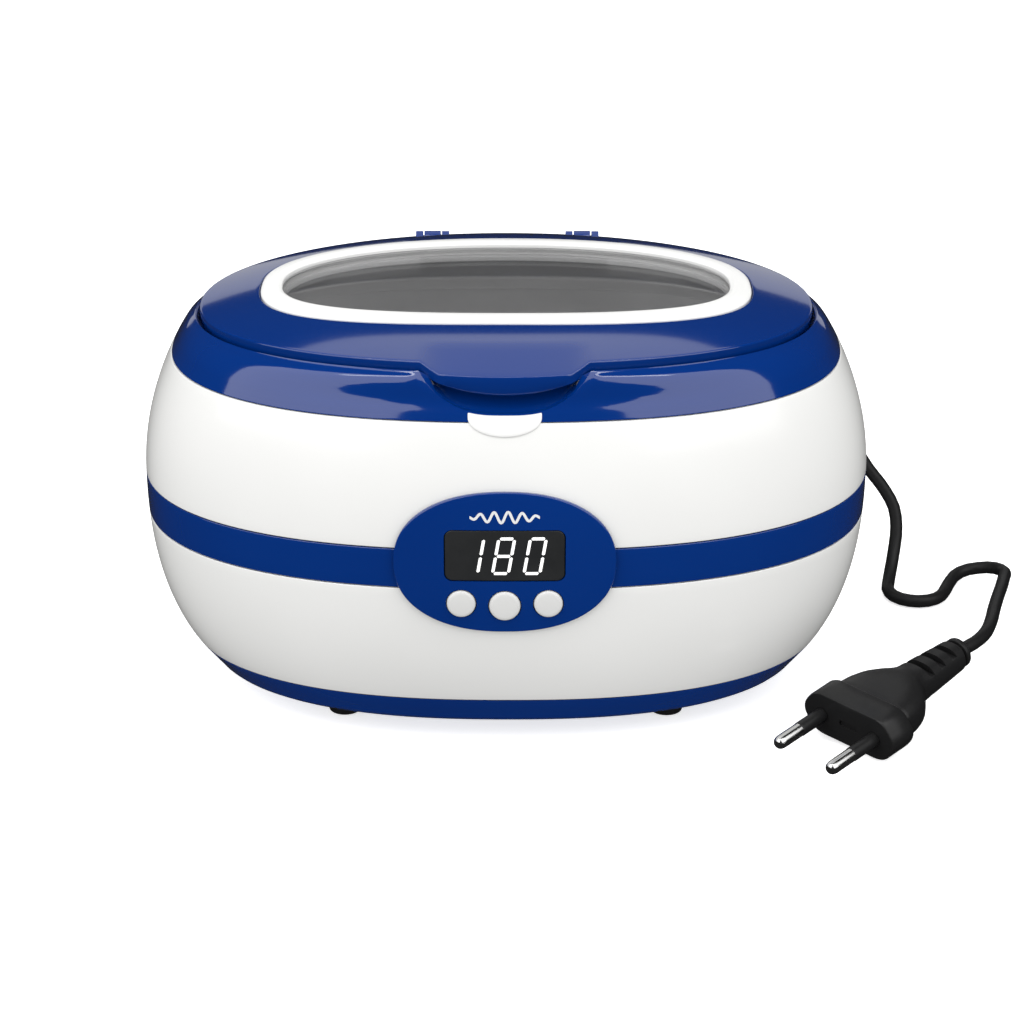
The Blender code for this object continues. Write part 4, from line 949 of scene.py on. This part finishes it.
def make_plug(mats):
    """Plug body, pins and sleeves; local X runs across the pins, Z along them."""
    ahead = Vector((cos(PLUG_HEADING) * cos(PLUG_TILT), sin(PLUG_HEADING) * cos(PLUG_TILT),
                    -sin(PLUG_TILT)))
    side = Vector((0, 0, 1)).cross(ahead).normalized()
    side.rotate(Matrix.Rotation(PLUG_ROLL, 3, ahead))
    turn = Matrix((side, ahead.cross(side), ahead)).transposed().to_4x4()

    face_width, face_height = 17.5, 6.9
    face = plug_outline(face_width, face_height, 12.6)
    angles = [atan2(point.y / face_height, point.x / face_width) for point in face]
    rings = []
    for inset, z in ((0.9, 0.0), (0.35, -0.12), (0.0, -0.6), (0.0, -8.5), (0.3, -9.1), (1.3, -9.4)):
        rings.append([Vector((p.x - inset * cos(a), p.y - inset * sin(a), z))
                      for p, a in zip(face, angles)])
    grip = ((13.4, 6.1, 3.2, -9.45), (13.6, 6.4, 3.2, -11.0), (13.3, 6.6, 3.0, -15.0),
            (12.0, 6.6, 2.8, -19.5), (9.2, 6.3, 2.6, -23.2), (7.0, 5.9, 2.5, -25.4),
            (6.2, 5.6, 2.5, -27.2), (6.0, 5.4, 2.5, -30.0), (5.5, 5.0, 2.4, -38.0),
            (4.9, 4.6, 2.3, -46.6), (4.8, 4.5, 2.2, -46.8), (3.6, 3.6, 2.0, -47.0),
            (3.6, 3.6, 2.0, -47.9), (4.6, 4.6, 2.0, -48.0), (4.6, 4.6, 2.0, -49.5),
            (4.3, 4.3, 2.0, -49.8), (3.2, 3.2, 2.0, -49.8))
    for half_width, half_height, power, z in grip:
        rings.append([Vector((*superellipse(half_width, half_height, power, a), z)) for a in angles])
    radii = [0.0] * 7 + [0.5, 1.5, 2.0, 1.6, 1.2, 1.0, 1.0, 1.0, 0.2, 0.2, 0.1, 0.1, 0.3, 0.3, 0.1, 0.0]
    body = add_mesh("plug_moulding", loft(soften(rings, radii)), mats["plug"])
    slot_width, slot_low, slot_high = 2.3, 3.0, 9.0
    for start in (-30.0, -35.6, -41.2):
        for low, high in ((slot_low, slot_high), (-slot_high, -slot_low)):
            cut(body, cutter_block((-slot_high, low, start - slot_width), (slot_high, high, start)))
    recess = rounded_rect(6.2, 1.9, 0.5, 0.0, 2, 3)
    cut(body, add_mesh("cutter", loft([[Vector((x, y, z)) for x, y in recess] for z in (-0.6, 1.0)]), None))
    parts = [(body, "plug_body", "black_rubber")]
    for name, sx in (("left", -1), ("right", 1)):
        centre = (sx * PIN_PITCH / 2, 0, 0)
        pin = [(PIN_RADIUS * 0.9, 0.5), (PIN_RADIUS, SLEEVE_LENGTH), (PIN_RADIUS, PIN_END - 1.9),
               (1.75, PIN_END - 0.9), (1.15, PIN_END - 0.25), (0.4, PIN_END)]
        rings = soften(turned(pin, centre), [0.0, 0.1, 0.5, 0.5, 0.3, 0.0])
        parts.append((add_mesh("pin_" + name, loft(rings), mats["plated"]), "plug_pin_" + name,
                      "plated_pin"))
        sleeve = [(PIN_RADIUS + 0.02, 0.1), (PIN_RADIUS + 0.12, 0.4),
                  (PIN_RADIUS + 0.12, SLEEVE_LENGTH - 0.3), (PIN_RADIUS + 0.02, SLEEVE_LENGTH)]
        rings = soften(turned(sleeve, centre), [0.0, 0.2, 0.2, 0.0])
        parts.append((add_mesh("sleeve_" + name, loft(rings), mats["plug"]), "pin_sleeve_" + name,
                      "black_plastic"))
    result = []
    for obj, node_name, slot in parts:
        obj.data.transform(Matrix.Translation(Vector(PLUG_AT) * MM) @ turn)
        result.append(piece(obj, "housing", slot, node_name))
    return result


def make_cord(mats):
    route = smooth_route(CORD_ROUTE, 3.0)
    curve = bpy.data.curves.new("mains_lead", "CURVE")
    curve.dimensions = "3D"
    curve.bevel_depth = CORD_RADIUS * MM
    curve.bevel_resolution = 5
    curve.use_fill_caps = True
    spline = curve.splines.new("POLY")
    spline.points.add(len(route) - 1)
    for point, place in zip(spline.points, route):
        point.co = (*(place * MM), 1.0)
    spline.use_smooth = True
    curve.materials.append(mats["cord"])
    cord = bpy.data.objects.new("mains_lead", curve)
    bpy.context.scene.collection.objects.link(cord)
    piece(cord, "housing", "black_rubber", "mains_cord")
    make_plug(mats)


# ---------------------------------------------------------------- inside

def finish_inner_nodes(mats):
    """Give every CAD node that stays its own material."""
    looks = {"display_module": "black", "control_board": "board", "tank_gasket": "rubber",
             "transducer_front_mass": "aluminium", "piezo_ring_upper": "ceramic",
             "piezo_ring_lower": "ceramic", "electrode_plate": "copper", "transducer_back_mass": "steel",
             "transducer_bolt": "steel", "driver_board": "board", "transformer_core": "ferrite",
             "transformer_winding": "copper", "filter_capacitor": "black", "tuning_inductor": "copper",
             "heat_sink": "aluminium", "power_transistor": "black", "fuse": "plated",
             "cord_gland": "rubber"}
    for name in ("set", "on", "off"):
        looks["tact_switch_" + name] = "black"
    for side in ("left", "right"):
        looks["hinge_pin_" + side] = "steel"
        for end in ("front", "rear"):
            looks[f"base_screw_{end}_{side}"] = "steel"
    for name, look in looks.items():
        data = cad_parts[name].data
        data.materials.clear()
        data.materials.append(mats[look])


# ---------------------------------------------------------------- stage

LIGHT_AIM = (0.0, 0.0, 0.10)
AMBIENT, AMBIENT_IN_GLOSS = 0.66, 0.02


def area_light(name, place, width, height, power, aim=LIGHT_AIM, shape="RECTANGLE"):
    data = bpy.data.lights.new(name, "AREA")
    data.shape = shape
    data.size = width
    data.size_y = height
    data.energy = power
    light = bpy.data.objects.new(name, data)
    light.location = place
    light.rotation_euler = (Vector(aim) - Vector(place)).to_track_quat("-Z", "Y").to_euler()
    light.visible_camera = False
    bpy.context.scene.collection.objects.link(light)


def make_stage():
    finish = Finish("floor", roughness=0.9, emission_strength=0.68)
    finish.shader.inputs["Specular IOR Level"].default_value = 0.0
    finish.colour(finish.noise(3.0, 2.0), (0.9, 0.9, 0.9), (0.92, 0.92, 0.92))
    finish.shader.inputs["Emission Color"].default_value = (1.0, 1.0, 1.0, 1.0)
    bm = bmesh.new()
    bmesh.ops.create_grid(bm, x_segments=8, y_segments=8, size=4000.0)
    floor = add_mesh("floor", bm, finish.mat)
    floor.location.z = -0.0002
    floor.visible_glossy = False
    floor.visible_diffuse = False

    world = bpy.data.worlds.new("studio")
    world.use_nodes = True
    tree = world.node_tree
    background = tree.nodes["Background"]
    background.inputs["Color"].default_value = (1.0, 1.0, 1.0, 1.0)
    path = tree.nodes.new("ShaderNodeLightPath")
    dim = tree.nodes.new("ShaderNodeMapRange")
    dim.inputs["To Min"].default_value = AMBIENT
    dim.inputs["To Max"].default_value = AMBIENT_IN_GLOSS
    tree.links.new(path.outputs["Is Glossy Ray"], dim.inputs["Value"])
    bright = tree.nodes.new("ShaderNodeMath")
    bright.operation = "MAXIMUM"
    tree.links.new(path.outputs["Is Camera Ray"], bright.inputs[0])
    tree.links.new(dim.outputs["Result"], bright.inputs[1])
    tree.links.new(bright.outputs["Value"], background.inputs["Strength"])
    bpy.context.scene.world = world
    bpy.context.scene.view_settings.view_transform = "Standard"

    area_light("top_softbox", (0.0, 0.93, 1.15), 1.0, 2.1, 3.0, (0.0, 0.93, 0.0), "ELLIPSE")
    area_light("edge_strip", (0.0, -0.42, 1.25), 1.5, 0.16, 3.2)
    area_light("left_softbox", (-1.02, -0.76, 1.12), 2.14, 1.75, 17.0)
    area_light("right_softbox", (1.03, -0.86, 1.08), 1.74, 1.75, 13.4)
    for side, sx in (("left", -1), ("right", 1)):
        area_light(side + "_rim", (sx * 0.52, 1.7, 0.35), 0.84, 0.48, 0.60)


def main():
    make_camera()
    mats = make_materials()
    make_cord(mats)
    make_body(mats)
    make_lid(mats)
    make_tank(mats)
    make_panel(mats)
    finish_inner_nodes(mats)
    make_stage()


main()
